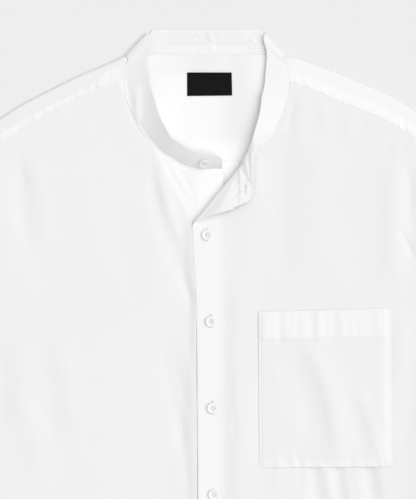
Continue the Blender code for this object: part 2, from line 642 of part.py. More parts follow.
def make_button(name, place, axis):
    """A dished round button whose back sits at `place` and whose face looks along `axis`."""
    half = BUTTON_WIDTH / 2
    profile = [(half - 0.8, 0.0), (half, 0.8), (half, 1.5), (half - 0.7, 2.2), (half - 1.9, 1.6)]
    sides = 12
    points = [(0, 0, 0)]
    for r, z in profile:
        points += [(r * math.cos(a), r * math.sin(a), z) for a in np.arange(sides) * 2 * math.pi / sides]
    points.append((0, 0, 1.5))
    faces = []
    for i in range(sides):
        j = (i + 1) % sides
        faces.append((0, 1 + j, 1 + i))
        for a in range(1, len(points) - 1 - sides, sides):
            faces.append((a + i, a + j, a + sides + j, a + sides + i))
        faces.append((a + sides + i, a + sides + j, len(points) - 1))
    obj = add_mesh(name, points, faces, PEARL, 0.3)
    obj.location = [c * MM for c in place]
    # Every axis here lies in the Y-Z plane.
    obj.rotation_euler = (math.atan2(-axis[1], axis[2]), 0, 0)


def make_buttons():
    on_placket = PLACKET_Z + PLACKET / 2 + SEAM_GAP
    for i, x in enumerate(BUTTON_XS):
        make_button(f"button_{i + 1}", (x, FIRST_BUTTON_Y - i * BUTTON_PITCH, on_placket), (0, 0, 1))
    seam, middle, top = band_sections()[1].reshape(3, 3)
    axis = np.array([0, seam[2] - top[2], top[1] - seam[1]])
    axis /= np.linalg.norm(axis)
    place = (seam + 2 * middle + top) / 4 + axis * (BAND / 2 + SEAM_GAP)
    make_button("button_collar", (COLLAR_BUTTON_X, *place[1:]), axis)


def main():
    clear_scene()
    make_back()
    make_yoke()
    make_right_front()
    make_left_front()
    make_placket()
    make_stand()
    make_band()
    make_pocket()
    make_label()
    for side in ("right", "left"):
        make_sleeve(side)
    make_buttons()


main()
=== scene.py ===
"""Finished look of the band collar shirt, laid flat and seen from straight above.

Lengths are in millimetres until a mesh is made. X runs towards the wearer's left, Y towards the collar and
Z up. Each piece of cloth is a thin shell on the form of its solid, with finer creases, seams and weave.
"""

import math
from collections import namedtuple

import bpy
import numpy as np
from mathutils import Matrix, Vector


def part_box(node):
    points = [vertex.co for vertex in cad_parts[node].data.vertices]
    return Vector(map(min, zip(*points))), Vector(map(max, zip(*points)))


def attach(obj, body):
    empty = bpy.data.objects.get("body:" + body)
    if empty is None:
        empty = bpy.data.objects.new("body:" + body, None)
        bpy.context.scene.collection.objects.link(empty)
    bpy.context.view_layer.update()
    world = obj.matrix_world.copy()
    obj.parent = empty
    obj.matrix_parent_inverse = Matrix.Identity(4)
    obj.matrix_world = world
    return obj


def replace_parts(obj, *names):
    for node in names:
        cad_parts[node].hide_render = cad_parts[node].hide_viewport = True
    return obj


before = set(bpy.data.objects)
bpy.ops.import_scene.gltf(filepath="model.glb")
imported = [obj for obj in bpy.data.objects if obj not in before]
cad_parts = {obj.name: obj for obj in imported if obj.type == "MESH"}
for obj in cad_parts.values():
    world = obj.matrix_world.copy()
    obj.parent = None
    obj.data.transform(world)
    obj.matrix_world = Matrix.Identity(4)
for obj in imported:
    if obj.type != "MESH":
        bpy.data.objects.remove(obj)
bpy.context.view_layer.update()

MM = 0.001
FINE = 1.0  # how much coarser the cloth's cells are
MIRROR = {"right": -1, "left": 1}

# Walls of the solids, and of the cloth that is drawn.
CLOTH, BAND, PLACKET = 1.2, 1.6, 1.8
SINGLE, BACK_WALL, SEAM_WALL, DOUBLE, LABEL_WALL = 0.7, 0.8, 0.9, 1.1, 0.6

# Heights of the solids' middle surfaces.
BACK_Z, FRONT_Z, SIDE_Z, LABEL_Z = 0.6, 5.0, 2.1, 2.0
STAND_Z, PLACKET_Z, COLLAR_FRONT_Z = 2.3, 4.8, 3.7
BAND_BACK_Z, CUFF_Z, UNDERARM_ROLL, SETTLE = 0.8, 3.8, 1.0, 40.0

HEM_WIDTH = 6.5  # of the cloth turned in at the hem
HEM_STEP, YOKE_SEAM_Y, BAND_HEIGHT, BAND_CORNER = 9.0, 245.5, 26.0, 9.0
BUTTON_WIDTH, BUTTON_PITCH, FIRST_BUTTON_Y = 11.5, 88.5, 170.0
BUTTON_XS = (2.0, 5.9, 7.6, 8.8, 10.0, 11.2)
COLLAR_BUTTON_X = -0.5
BUTTONHOLE_AT = 18.0  # from the band's end to the middle of its buttonhole
SLIT_HALF_LENGTH, SLIT_HALF_WIDTH = 9.0, 1.9  # of that buttonhole
BAND_CLOSE = -0.4  # how far the drawn band stands in from the neck's seam line: slightly outside it
CUFF_LENGTH, CUFF_WIDTH, SLEEVE_LENGTH, SLEEVE_END_WIDTH = 64.0, 114.0, 565.0, 134.0
CUFF_OVERLAP_AT = 34  # across a cuff, to where its upper end stops
BACK_LENGTH, BACK_WIDTH, POCKET_WIDTH, POCKET_HEIGHT, POCKET_HEM = 620, 570, 136, 160, 29.0
SHOULDER_LENGTH, NECK_LENGTH, ARMHOLE_LENGTH, HEM_LENGTH = 165, 140, 240, 290
SEAM_AT, HEM_SEAM_AT = 1.9, 6.0  # from an edge to its row of stitches
TOPSTITCH_AT = 2.3

# The left front's corner rolls over a line through TURN_POINT.
TURN_POINT = np.array([36.8, 241.5])
TURN_ALONG = np.array([0.630, 0.776])
OUT_OF_ROLL = np.array([TURN_ALONG[1], -TURN_ALONG[0]])
TURN_RADIUS, TURN_DROP, TURN_LENGTH = 2.6, 0.04, 30.0

# Edges, as knots of smooth curves.
SHOULDER = {
    "right": [(-230, 274), (-209.5, 289), (-189, 302), (-158.5, 318), (-128, 333), (-102, 344), (-82.5, 353)],
    "left": [(230, 283), (215.5, 295.5), (189, 312.5), (158.5, 326), (128, 338.5), (97, 349.5), (84, 353)],
}
YOKE_FRONT = {
    "right": [
        (-227, 254), (-209.5, 265.5), (-189, 278.5), (-158.5, 296), (-128, 311), (-97, 324.5), (-81.5, 329),
    ],
    "left": [
        (227, 263.5), (215.5, 270), (199.5, 279.5), (168.5, 295.5), (138, 307.5), (107.5, 320.5), (87.5, 328),
    ],
}
ARMHOLE = {
    "right": [(-285, 24), (-256.5, 57.5), (-235, 93.5), (-222, 136), (-218.5, 180), (-222, 221), (-227, 254)],
    "left": [(285, 30), (257.5, 62.5), (236, 99.5), (223, 142.5), (219.5, 185.5), (222, 226), (227, 263.5)],
}
SIDE = {
    side: [(277 * m, -310), (279 * m, -240), (283 * m, -100), ARMHOLE[side][0]] for side, m in MIRROR.items()
}
HEM = [(0, -380), (97, -378), (179, -368), (230, -351), (263, -328), (277, -310)]
FRONT_HEM_Y = -371
NECK_BACK_Y = 354.5
STAND_EDGES = (-9.0, 18.4)
PLACKET_SEAM_X = 17.5
FRONT_WIDTH = {"right": 276, "left": 268}
FRONT_EDGE = {"right": (STAND_EDGES[0], 238.0), "left": (PLACKET_SEAM_X, 236.4)}  # X, and Y at the neck
NECK = {
    "right": [
        (-9, 238), (-20.5, 241), (-30.5, 246.5), (-46, 257), (-56, 267), (-66.5, 281.5), (-76.5, 303),
        (-79.5, 313), (-81.5, 329),
    ],
    "left": [
        (17.5, 236.4), (26.5, 240), (40, 246), (51, 252.5), (58.5, 261), (68.5, 274), (76.5, 287.5),
        (83, 305), (86.5, 320), (87.5, 328),
    ],
}
PLACKET_EDGE = [
    (-7, FRONT_HEM_Y), (-7.5, -19), (-9.5, 113.5), (-12.3, 160), (-12.5, 185), (-9.5, 203), (-8, 226.5),
]
POCKET = np.array([(55.5, -67.5), (190.5, -66.5), (54.5, 91.5), (189.5, 95.0)])
LABEL = np.array([(-18.5, 312.0), (28.0, 312.5), (-18.5, 336.5), (27.5, 336.5)])

# The band's sections, from the button's end to the buttonhole's. Each is bent from its seam to its top edge,
# about a middle point at these shares of the way: run in plan, and lift in height.
Section = namedtuple("Section", "seam_x seam_y seam_z top_x top_y top_z run lift")
BAND_RIGHT = [
    Section(17.5, 238, 3.7, 17, 251.5, 17.5, 0.3, 0.55),
    Section(5, 238, 3.7, 4.5, 252, 17.5, 0.3, 0.55),
    Section(-9, 238, 3.7, -9, 254, 17.5, 0.35, 0.55),
    Section(-20.5, 241, 4, -16, 257, 17.5, 0.4, 0.55),
    Section(-30.5, 246.5, 4.4, -23.5, 262, 18, 0.45, 0.55),
    Section(-46, 257, 5, -35, 270, 18.5, 0.48, 0.5),
    Section(-56, 267, 5, -40.5, 280, 17.5, 0.5, 0.45),
    Section(-66.5, 281.5, 5, -47, 293, 15, 0.5, 0.35),
    Section(-76.5, 303, 5, -52.5, 311.5, 12, 0.55, 0.1),
    Section(-79.5, 313, 5, -55, 319.5, 10.5, 0.6, 0.1),
    Section(-81.3, 328.5, 5, -57.6, 332, 9, 0.6, 0.2),
    Section(-82.3, 341.5, 5, -59.5, 349, 7, 0.6, 0.3),
]
CREASE_RIGHT = ((-81.8, 354.0), (-60.3, 376.8))
BACK_TOPS = [(-71.5, -54, 379.3), (-56, -48, 379.9), (-30.5, -28.5, 379.9), (0, 0, 379.9)]
BACK_TOPS += [(30, 28.5, 379.9), (54, 49.5, 379.9), (69, 57, 379.3)]
BAND_BACK = [Section(x, 355, 0.8, top_x, top_y, 0.8, 0.5, 0.5) for x, top_x, top_y in BACK_TOPS]
CREASE_LEFT = ((83.4, 353.6), (63.0, 376.6))
BAND_LEFT = [
    Section(84.8, 341, 5, 63.2, 356, 5.4, 0.5, 0.6),
    Section(87, 328.5, 5, 61.7, 333, 6, 0.5, 0.8),
    Section(86.3, 320, 5, 61, 324, 6.4, 0.5, 0.8),
    Section(83, 305, 5, 58, 311, 8.8, 0.5, 0.8),
    Section(76.5, 287.5, 5, 56.4, 297.2, 10.6, 0.5, 0.9),
    Section(68.5, 274, 5, 53.4, 285.2, 12, 0.5, 0.9),
    Section(58.5, 261, 5, 49.2, 267.6, 13.2, 1.3, 0.9),
    Section(54, 256, 5, 49.8, 257.6, 14.4, 3.6, 0.65),
]
# Where the band is turned open with the left front, its seam is given as if the front lay flat.
Turned = namedtuple("Turned", "seam_x seam_y mid_x mid_y mid_z top_x top_y top_z")
BAND_TURNED = [
    Turned(50, 252, 36.8, 256, 11.5, 50, 254, 15),
    Turned(45.5, 249.5, 33.8, 251, 12.5, 50.4, 250.5, 15.5),
    Turned(40, 246.5, 33.5, 245, 12.5, 50.7, 246.5, 15.5),
    Turned(33, 243.3, 37, 240, 12.5, 51, 242, 15),
    Turned(26.5, 240, 39, 234, 11, 51, 237, 14),
    Turned(19, 237, 42.5, 227.5, 10.2, 50.6, 230.5, 12.5),
    Turned(6.5, 232.5, 41, 216, 10, 49.2, 218.5, 10),
    Turned(-7, 226.5, 38, 201.5, 10.4, 47.8, 205, 8.4),
]

Fold = namedtuple("Fold", "start middle end width height")


def folds(*rows):
    """Folds from rows of start x y, middle x y, end x y, width and height. A trough's is below zero."""
    return [Fold(row[:2], row[2:4], row[4:6], *row[6:]) for row in rows]


# The solids' own folds.
FOLDS = {
    "right": folds(
        (-196, 257, -188, 200, -182, 140, 10, -1.2),
        (-180, 257, -168, 200, -163, 140, 10, 0.8),
        (-58, 247, -42, 170, -16, 114, 7, -1.4),
        (-49, 242, -36, 193, -22, 154, 6, 1.2),
        (-147, 80, -140, 5, -128, -70, 14, 1.3),
        (-170, 90, -162, 0, -154, -60, 16, -0.6),
        (-218, 75, -209, 20, -217, -40, 14, -2),
        (-60, -110, -48, -190, -52, -330, 16, 1.6),
        (-205, -100, -214, -190, -206, -290, 18, 1.8),
        (-110, -130, -118, -220, -112, -320, 18, -1.6),
    ),
    "left": folds(
        (84, 286, 79, 215, 81, 104, 14, -1.9),
        (110, 285, 114, 215, 112, 130, 16, 0.9),
        (187, 252, 188, 190, 187, 110, 10, 1),
        (209, 252, 210, 190, 208, 125, 9, -1.8),
        (78, 55, 105, 5, 112, -52, 16, -1.4),
        (146, 12, 158, -28, 164, -64, 14, -1),
        (118, -72, 124, -120, 112, -200, 14, -1.6),
        (146, -72, 152, -150, 150, -250, 16, 2),
        (232, 10, 226, -90, 236, -220, 18, 1.8),
        (70, -130, 64, -220, 72, -330, 18, 1.6),
        (200, -150, 196, -240, 204, -320, 16, -1.6),
    ),
}
# Finer creases of the same kind.
CREASES = {
    "right": folds(
        (-43, 250, -29, 223, -12, 200, 3.5, -0.9),  # below the band
        (-31, 243, -22, 230, -12, 213, 3, -0.8),
        (-37, 244, -25, 222, -12, 203, 3.5, 0.5),
        (-30, 135, -20, 118, -11, 98, 5, -0.8),  # beside the placket
        (-48, 66, -33, 10, -20, -66, 9, -1.2),
        (-34, 50, -24, 15, -13, -20, 4, -0.7),
        (-26, 70, -18, 40, -12, 5, 4, 0.5),
        (-32, 0, -22, -48, -16, -120, 6, -1.4),
        (-190, 262, -188, 240, -183, 215, 5, -0.5),  # below the yoke
        (-190, 258, -173, 175, -160, 92, 14, -1),
        (-158, 283, -157, 262, -155, 240, 6, -0.25),
        (-120, 303, -121, 285, -118, 262, 6, 0.2),
        (-60, 268, -52, 225, -41, 183, 4.5, -0.3),
        (-42, 195, -26, 145, -10, 80, 5, -0.9),
        (-50, 258, -43, 225, -28, 175, 6, 0.5),
        (-130, 232, -118, 180, -104, 120, 14, 0.7),  # across the chest
        (-95, 215, -80, 150, -66, 90, 14, -0.7),
        (-150, 20, -120, -20, -84, -45, 12, 0.6),
        (-215, 20, -180, 5, -150, -40, 10, -0.6),
        (-90, 40, -84, 0, -70, -50, 14, -0.6),
        (-200, 30, -178, -20, -164, -100, 16, 1.4),
        (-240, -20, -236, -90, -244, -160, 10, -0.8),  # below the photo's edge
        (-180, -120, -160, -200, -168, -280, 9, 0.8),
        (-90, -150, -84, -230, -92, -300, 9, -0.8),
        (-30, -120, -26, -190, -32, -270, 8, 0.7),
        (-250, -180, -246, -230, -250, -290, 9, 0.8),
    ),
    "left": folds(
        (212, 275, 205, 262, 196, 252, 4, -0.6),  # below the yoke
        (193, 279, 190, 268, 184, 252, 5.5, -0.5),
        (176, 290, 175, 276, 170, 258, 7, -0.4),
        (163, 296, 162, 284, 161, 270, 4, -0.3),
        (148, 300, 147, 285, 149, 262, 6, 0.5),
        (120, 312, 121, 295, 124, 270, 6, 0.5),
        (206, 250, 208, 210, 207, 178, 6, -1.1),
        (196, 270, 198, 200, 195, 100, 12, 1.2),
        (198.5, 181, 204, 166, 214, 148, 3, -0.6),
        (199, 176, 207, 160, 216, 142, 4, -1),
        (46, 262, 51, 240, 52, 206, 7, 2.3),  # beside the turned corner
        (91, 322, 88, 300, 84, 270, 5, -0.9),
        (101, 318, 99, 290, 96, 255, 6, 0.6),
        (203, 100, 201, 50, 203, 0, 9, 0.9),  # beside the placket and the pocket
        (60, 200, 58, 150, 62, 100, 12, -0.6),
        (40, 120, 36, 60, 40, 0, 10, -0.5),
        (24, 60, 32, 20, 28, -30, 7, 0.4),
        (26, -8, 31, -22, 27, -40, 4, -0.5),
        (154, 200, 156, 150, 150, 108, 14, -0.6),
        (106, -36, 112, -78, 118, -122, 7.5, -2.6),  # below the pocket
        (120, -40, 126, -78, 133, -116, 4, 0.7),
        (130, -36, 137, -84, 146, -126, 7.5, -2.7),
        (146, -40, 151, -84, 158, -116, 4, -0.7),
        (163, -36, 169, -86, 178, -126, 8.5, -2.8),
        (178, -46, 182, -88, 186, -116, 6, 0.6),
        (96, -50, 97, -80, 99, -100, 3.5, -0.7),
        (74, -50, 74, -82, 72, -100, 5, 0.6),
        (205, 60, 208, 0, 202, -60, 8, -0.7),
        (250, -40, 246, -110, 254, -180, 9, -0.8),  # below the photo's edge
        (90, -150, 96, -230, 88, -300, 9, -0.8),
        (180, -140, 176, -220, 184, -290, 9, 0.8),
        (40, -120, 44, -190, 38, -270, 8, 0.7),
        (240, -190, 238, -240, 244, -300, 9, 0.8),
    ),
}
POCKET_CREASES = folds(
    (82, 66, 112, 20, 127, -62, 8, -0.9),
    (80, 72, 119, 22, 138, -82, 15, 3.1),
    (152, 22, 170, -26, 182, -72, 8, 1.5),
    (70, 50, 76, 10, 84, -30, 9, 0.5),
    (90, 30, 94, -10, 92, -50, 6, 0.5),
    (176, 50, 180, 10, 181, -30, 7, 0.5),
)
TURNED_CREASES = folds(  # on the turned corner, as it lies
    (34, 241.5, 40.9, 230.2, 47, 216, 2, -1.3),
    (41.5, 232.5, 39.3, 220, 43, 206, 1.2, -0.65),
    (45, 225, 46, 216, 43, 208, 1.1, -0.55),
    (41.8, 226.5, 42.9, 218.5, 42.9, 210, 1.5, 1.1),
    (35.6, 234, 36.8, 216, 35.5, 196, 2, 1.2),
    (33.3, 231.5, 33.9, 220, 33.7, 208.5, 1.2, -0.6),
    (44.6, 262, 44.8, 243, 45.2, 224, 1.2, -0.7),
    (47, 262, 47.2, 243, 47.4, 222, 1.1, 0.8),
    (40, 247, 43.5, 236, 45, 226, 1, 0.7),
    (38.5, 207, 40.5, 202, 41, 196, 1.5, 1),
)
# A sleeve's folds, the solid's own ones first. X is a share of the sleeve's width, and Y runs down it.
SLEEVE_FOLDS = folds(
    (0.18, 20, 0.42, 90, 0.8, 170, 13, 2.2),
    (0.06, 90, 0.4, 170, 0.92, 230, 13, -2),
    (0.2, 190, 0.45, 270, 0.85, 310, 13, 2),
    (0.15, 300, 0.45, 350, 0.9, 370, 11, -1.8),
    (0.25, 360, 0.42, 440, 0.45, 530, 12, 1.8),
    (0.65, 390, 0.68, 460, 0.66, 540, 11, 1.6),
    (0.3, 4, 0.45, 50, 0.55, 120, 6, -0.8),
    (0.6, 10, 0.72, 60, 0.88, 110, 6, 0.8),
    (0.1, 60, 0.3, 110, 0.55, 190, 6, -0.7),
    (0.5, 200, 0.66, 240, 0.9, 262, 6, -0.8),
    (0.12, 250, 0.28, 300, 0.6, 330, 7, 0.8),
    (0.3, 420, 0.33, 500, 0.32, 562, 5, -1),
    (0.52, 440, 0.55, 510, 0.54, 562, 5, -1),
    (0.74, 470, 0.76, 520, 0.76, 562, 5, -0.9),
    (0.2, 440, 0.22, 500, 0.21, 562, 5, 0.7),
)
SLEEVE_OUTER = [(0, 0), (52, -42), (130, -114), (255, -238), (400, -392)]
SLEEVE_INNER = [(0, 0), (38, -25), (88, -72), (165, -150)]
SLEEVE_ANGLE = math.radians(46)

# Distances of rows from a stitched edge. They are close together there, and the plain cells follow.
EDGE_STEPS = (0.0, 0.5, 1.0, 1.5, 1.9, 2.3, 2.8, 3.6, 4.8, 6.4)


# ---- Curves and surfaces, as in the solids ----


def eased(t):
    return t * t * (3 - 2 * t)


def ramp(t):
    return eased(np.clip(t, 0, 1))


def hill(distance, width):
    return np.exp(-((distance / width) ** 2))


def unit(vectors):
    return vectors / np.maximum(np.linalg.norm(vectors, axis=-1), 1e-9)[..., None]


def steps(count):
    return np.linspace(0, 1, count + 1)


def length_along(points):
    return np.r_[0, np.cumsum(np.linalg.norm(np.diff(points, axis=0), axis=1))]


def resampled(points, s):
    """The points at these lengths along a path."""
    at = length_along(points)
    return np.column_stack([np.interp(s, at, column) for column in points.T])


def curve(knots, shares):
    """The points at these shares, 0 to 1, of the length of a smooth curve through the knots."""
    k = np.array(knots, float)
    s = length_along(k)
    slope = np.gradient(k, s, axis=0)
    q = np.asarray(shares, float) * s[-1]
    i = np.clip(np.searchsorted(s, q, "right") - 1, 0, len(s) - 2)
    h = (s[i + 1] - s[i])[:, None]
    t = (q - s[i])[:, None] / h
    near = (2 * t**3 - 3 * t**2 + 1) * k[i] + (t**3 - 2 * t**2 + t) * h * slope[i]
    far = (3 * t**2 - 2 * t**3) * k[i + 1] + (t**3 - t**2) * h * slope[i + 1]
    return near + far


def even(low, high, pitch):
    """Even steps of about this pitch from one length to another."""
    return np.linspace(low, high, round((high - low) / (pitch * FINE)) + 1)


def spaced(length, pitch, start=EDGE_STEPS, end=EDGE_STEPS):
    """Shares of a length, with the short steps of a stitched edge at its two ends and even cells between."""
    middle = even(start[-1], length - end[-1], pitch)[1:-1]
    return np.r_[start, middle, (length - np.array(end))[::-1]] / length


def moved(points, distance):
    """A plan path moved to its left."""
    along = unit(np.gradient(points, axis=0))
    return points + distance * np.column_stack([-along[:, 1], along[:, 0]])


def filled(bottom, top, inner, outer, across, up):
    """A grid between four edges."""
    u, v = across[None, :, None], up[:, None, None]
    sides = (1 - u) * inner[:, None] + u * outer[:, None]
    ends = (1 - v) * bottom[None] + v * top[None]
    corners = (1 - v) * ((1 - u) * bottom[0] + u * bottom[-1]) + v * ((1 - u) * top[0] + u * top[-1])
    return sides + ends - corners


def quad(corners, across, up):
    """A grid between four corners: the two low ones, and then the two high ones."""
    u, v = across[None, :, None], up[:, None, None]
    return (1 - v) * ((1 - u) * corners[0] + u * corners[1]) + v * ((1 - u) * corners[2] + u * corners[3])


def nearest_on(path, x, y):
    """For each plan point, its distance to a path, and the share of the path where it is nearest."""
    best = np.full(np.shape(x), np.inf)
    share = np.zeros_like(best)
    s = length_along(path)
    for i, (a, b) in enumerate(zip(path, path[1:])):
        run = b - a
        t = np.clip(((x - a[0]) * run[0] + (y - a[1]) * run[1]) / (run @ run), 0, 1)
        gap = np.hypot(x - a[0] - t * run[0], y - a[1] - t * run[1])
        closer = gap < best
        best = np.where(closer, gap, best)
        share = np.where(closer, (s[i] + t * (s[i + 1] - s[i])) / s[-1], share)
    return best, share


def fold_relief(x, y, table):
    """The height that folds add at each plan point. A fold's curve passes through its three points."""
    t = steps(12)[:, None]
    relief = np.zeros(np.shape(x))
    for fold in table:
        start, middle, end = np.array(fold[:3], float)
        path = (1 - t) ** 2 * start + 2 * t * (1 - t) * (2 * middle - (start + end) / 2) + t**2 * end
        reach = 3 * fold.width
        low, high = path.min(axis=0) - reach, path.max(axis=0) + reach
        near = (x > low[0]) & (x < high[0]) & (y > low[1]) & (y < high[1])
        gap, share = nearest_on(path, x[near], y[near])
        taper = ramp(share / 0.3) * ramp((1 - share) / 0.3)
        relief[near] += fold.height * taper * hill(gap, fold.width)
    return relief


def settled(x, y, base):
    """A front's height, which comes down to its side seam."""
    below = ramp((90 - y) / 60)
    side_settle = 1 - below * (1 - ramp((281 - np.abs(x)) / SETTLE))
    return SIDE_Z + (base - SIDE_Z) * side_settle


def right_front_z(x, y):
    low = ramp((110 - y) / 60)
    centre = ramp((-10 - 20 * low - x) / (45 + 45 * low))
    middle_z = STAND_Z + (COLLAR_FRONT_Z - STAND_Z) * ramp((y - 205) / 33)
    base = settled(x, y, middle_z + (FRONT_Z - middle_z) * centre)
    free = ramp((-12 - x) / 16) * ramp((x + 285) / 40)
    return np.maximum(base + free * fold_relief(x, y, FOLDS["right"]), SIDE_Z)


def left_front_z(x, y):
    base = settled(x, y, PLACKET_Z + (FRONT_Z - PLACKET_Z) * ramp((x - PLACKET_SEAM_X) / 30))
    free = ramp((x - 22) / 20) * ramp((285 - x) / 40)
    return np.maximum(base + free * fold_relief(x, y, FOLDS["left"]), SIDE_Z)


def past_turn(plan):
    """How far past the start of the roll each point of the left front lies, when it is laid out flat."""
    from_point = plan - TURN_POINT
    return np.where(from_point @ TURN_ALONG < TURN_LENGTH, TURN_RADIUS - from_point @ OUT_OF_ROLL, 0)


def turned_back(points):
    """Points of the left front laid out flat, with those past the fold line rolled over it."""
    past = past_turn(points[..., :2])
    angle = np.clip(past / TURN_RADIUS, 0, math.pi)
    beyond = np.maximum(past - math.pi * TURN_RADIUS, 0)
    reach = TURN_RADIUS * np.sin(angle) - beyond
    # The flap rises from its fold, over a longer way further down.
    down = -((points[..., :2] - TURN_POINT) @ TURN_ALONG)
    reach_up = 1.5 + 9 * ramp((down - 12) / 36)
    climb = np.minimum(beyond, reach_up)
    billow = 0.62 * (climb - climb**4 / (4 * reach_up**3))
    turned = points.copy()
    turned[..., :2] += ((np.maximum(past, 0) - reach) * (past > 0))[..., None] * OUT_OF_ROLL
    turned[..., 2] += TURN_RADIUS * (1 - np.cos(angle)) - TURN_DROP * beyond + billow
    return turned


def hem_curve(side, shares, start_x=0.0, lift=0.0):
    fine = curve(HEM, steps(200))
    first = np.interp(start_x, fine[:, 0], steps(200))
    return curve(HEM, first + (1 - first) * np.asarray(shares)) * (MIRROR[side], 1) + (0, lift)


# ---- Unevenness ----


def wobble(s, pitch, seed):
    """Smooth uneven waves along a line, about -1 to 1."""
    count = 4096
    values = np.random.default_rng(seed).uniform(-1, 1, count)
    q = np.asarray(s, float) / pitch + count / 2
    i = np.floor(q).astype(int)
    t = eased(q - i)
    return values[i % count] * (1 - t) + values[(i + 1) % count] * t


def mottle(x, y, pitch, seed):
    """Smooth uneven hills over a plan, about -1 to 1."""
    count = 64
    values = np.random.default_rng(seed).uniform(-1, 1, (count, count))
    qx, qy = np.asarray(x, float) / pitch + 10 * count, np.asarray(y, float) / pitch + 10 * count
    i, j = np.floor(qx).astype(int), np.floor(qy).astype(int)
    a, b = eased(qx - i), eased(qy - j)
    i0, i1, j0, j1 = i % count, (i + 1) % count, j % count, (j + 1) % count
    low = values[i0, j0] * (1 - a) + values[i1, j0] * a
    high = values[i0, j1] * (1 - a) + values[i1, j1] * a
    return low * (1 - b) + high * b


def ripples(x, y, seed):
    """The slight unevenness of pressed cotton."""
    big = mottle(x + 0.3 * y, y * 0.6, 46, seed) * 0.30
    return big + mottle(x, y * 0.7, 19, seed + 1) * 0.10 + mottle(x, y, 8, seed + 2) * 0.035


def puckers(distance, along, seed, pitch, reach, height):
    """Small gathers that a row of stitches draws up, dying out with distance from it."""
    wave = wobble(along + 0.25 * distance, pitch, seed) + 0.5 * wobble(along, pitch * 0.55, seed + 1)
    strength = 0.55 + 0.45 * wobble(along, pitch * 7, seed + 2)
    return height * wave * strength * hill(distance, reach)


def groove(distance, at, depth, width=0.6):
    """The line that a row of stitches presses in."""
    return -depth * hill(distance - at, width)


# ---- Meshes ----

Patch = namedtuple("Patch", "points wall uv ply")
RIM = 0.35  # how far a rim stands out, as a share of its wall
BLUNT = 0.35  # a thread end's radius, as a share of the thread's


def patch(points, wall, uv=None, ply=0.0):
    """A grid of the cloth's middle surface, with its wall, its place on the cut and how much whiter it is,
    painted light included.
    """
    uv = points[..., :2] if uv is None else uv
    wall, ply = (np.broadcast_to(np.asarray(v, float), points.shape[:2]) for v in (wall, ply))
    return Patch(points, wall, uv, ply)


def new_mesh(name, points, faces, uv=None, ply=None):
    """A mesh from arrays: points in mm, faces of four corners, and one UV for each corner."""
    mesh = bpy.data.meshes.new(name)
    mesh.vertices.add(len(points))
    mesh.vertices.foreach_set("co", (np.asarray(points) * MM).astype(np.float32).ravel())
    mesh.loops.add(faces.size)
    mesh.loops.foreach_set("vertex_index", faces.astype(np.int32).ravel())
    mesh.polygons.add(len(faces))
    mesh.polygons.foreach_set("loop_start", np.arange(0, faces.size, faces.shape[1], dtype=np.int32))
    mesh.update(calc_edges=True)
    if uv is not None:
        mesh.uv_layers.new(name="cloth").data.foreach_set("uv", (uv * MM).astype(np.float32).ravel())
    if ply is not None:
        mesh.attributes.new("ply", "FLOAT", "POINT").data.foreach_set("value", ply.astype(np.float32))
    mesh.shade_smooth()
    return mesh


def in_scene(name, data):
    obj = bpy.data.objects.new(name, data)
    bpy.context.scene.collection.objects.link(obj)
    return obj


def add_object(name, mesh, material):
    mesh.materials.append(material)
    obj = in_scene(name, mesh)
    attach(obj, "root")
    return obj


def grid_faces(ids):
    return np.stack([ids[:-1, :-1], ids[:-1, 1:], ids[1:, 1:], ids[1:, :-1]], -1).reshape(-1, 4)


def ring_faces(rings):
    """Faces between rings of points, each ring closed on itself."""
    return grid_faces(np.hstack([rings, rings[:, :1]]))


def grid_normals(points):
    return unit(np.cross(np.gradient(points, axis=1), np.gradient(points, axis=0)))


def shell(name, patches, material):
    """A closed thin wall about its middle surface, with round rims. Patches join where they share points."""
    raw = np.concatenate([p.points.reshape(-1, 3) for p in patches])
    uv = np.concatenate([p.uv.reshape(-1, 2) for p in patches])
    ply = np.concatenate([p.ply.ravel() for p in patches])
    wall = np.concatenate([p.wall.ravel() for p in patches])
    faces, start = [], 0
    for p in patches:
        ids = start + np.arange(p.wall.size).reshape(p.wall.shape)
        faces.append(grid_faces(ids))
        start += ids.size
    faces = np.concatenate(faces)
    _, first, weld = np.unique(np.round(raw, 2), axis=0, return_index=True, return_inverse=True)
    points, wall, ply, count = raw[first], wall[first, None], ply[first], len(first)
    corners = weld.ravel()[faces]
    p0, p1, p2, p3 = (points[corners[:, k]] for k in range(4))
    twice_area = np.cross(p2 - p0, p3 - p1)
    normal = np.zeros_like(points)
    for k in range(4):
        np.add.at(normal, corners[:, k], twice_area)
    normal = unit(normal)
    # Rim edges belong to one face alone.
    a, b = corners.ravel(), np.roll(corners, -1, axis=1).ravel()
    raw_a, raw_b = faces.ravel(), np.roll(faces, -1, axis=1).ravel()
    rim = ~np.isin(a * count + b, b * count + a) & (a != b)
    a, b, raw_a, raw_b = a[rim], b[rim], raw_a[rim], raw_b[rim]
    out = np.zeros_like(points)
    outward = np.cross(points[b] - points[a], normal[a])
    np.add.at(out, a, outward)
    np.add.at(out, b, outward)
    on_rim = np.unique(np.r_[a, b])
    middle = np.zeros(count, int)
    middle[on_rim] = 2 * count + np.arange(len(on_rim))
    rims = points[on_rim] + unit(out[on_rim]) * wall[on_rim] * RIM
    all_points = np.vstack([points + normal * wall / 2, points - normal * wall / 2, rims])
    top_rim = np.stack([b, a, middle[a], middle[b]], -1)
    low_rim = np.stack([middle[b], middle[a], a + count, b + count], -1)
    all_faces = np.vstack([corners, corners[:, ::-1] + count, top_rim, low_rim])
    rim_raw = np.stack([raw_b, raw_a, raw_a, raw_b], -1)
    all_raw = np.vstack([faces, faces[:, ::-1], rim_raw, rim_raw])
    mesh = new_mesh(name, all_points, all_faces, uv[all_raw.ravel()], np.r_[ply, ply, ply[on_rim]])
    return add_object(name, mesh, material)


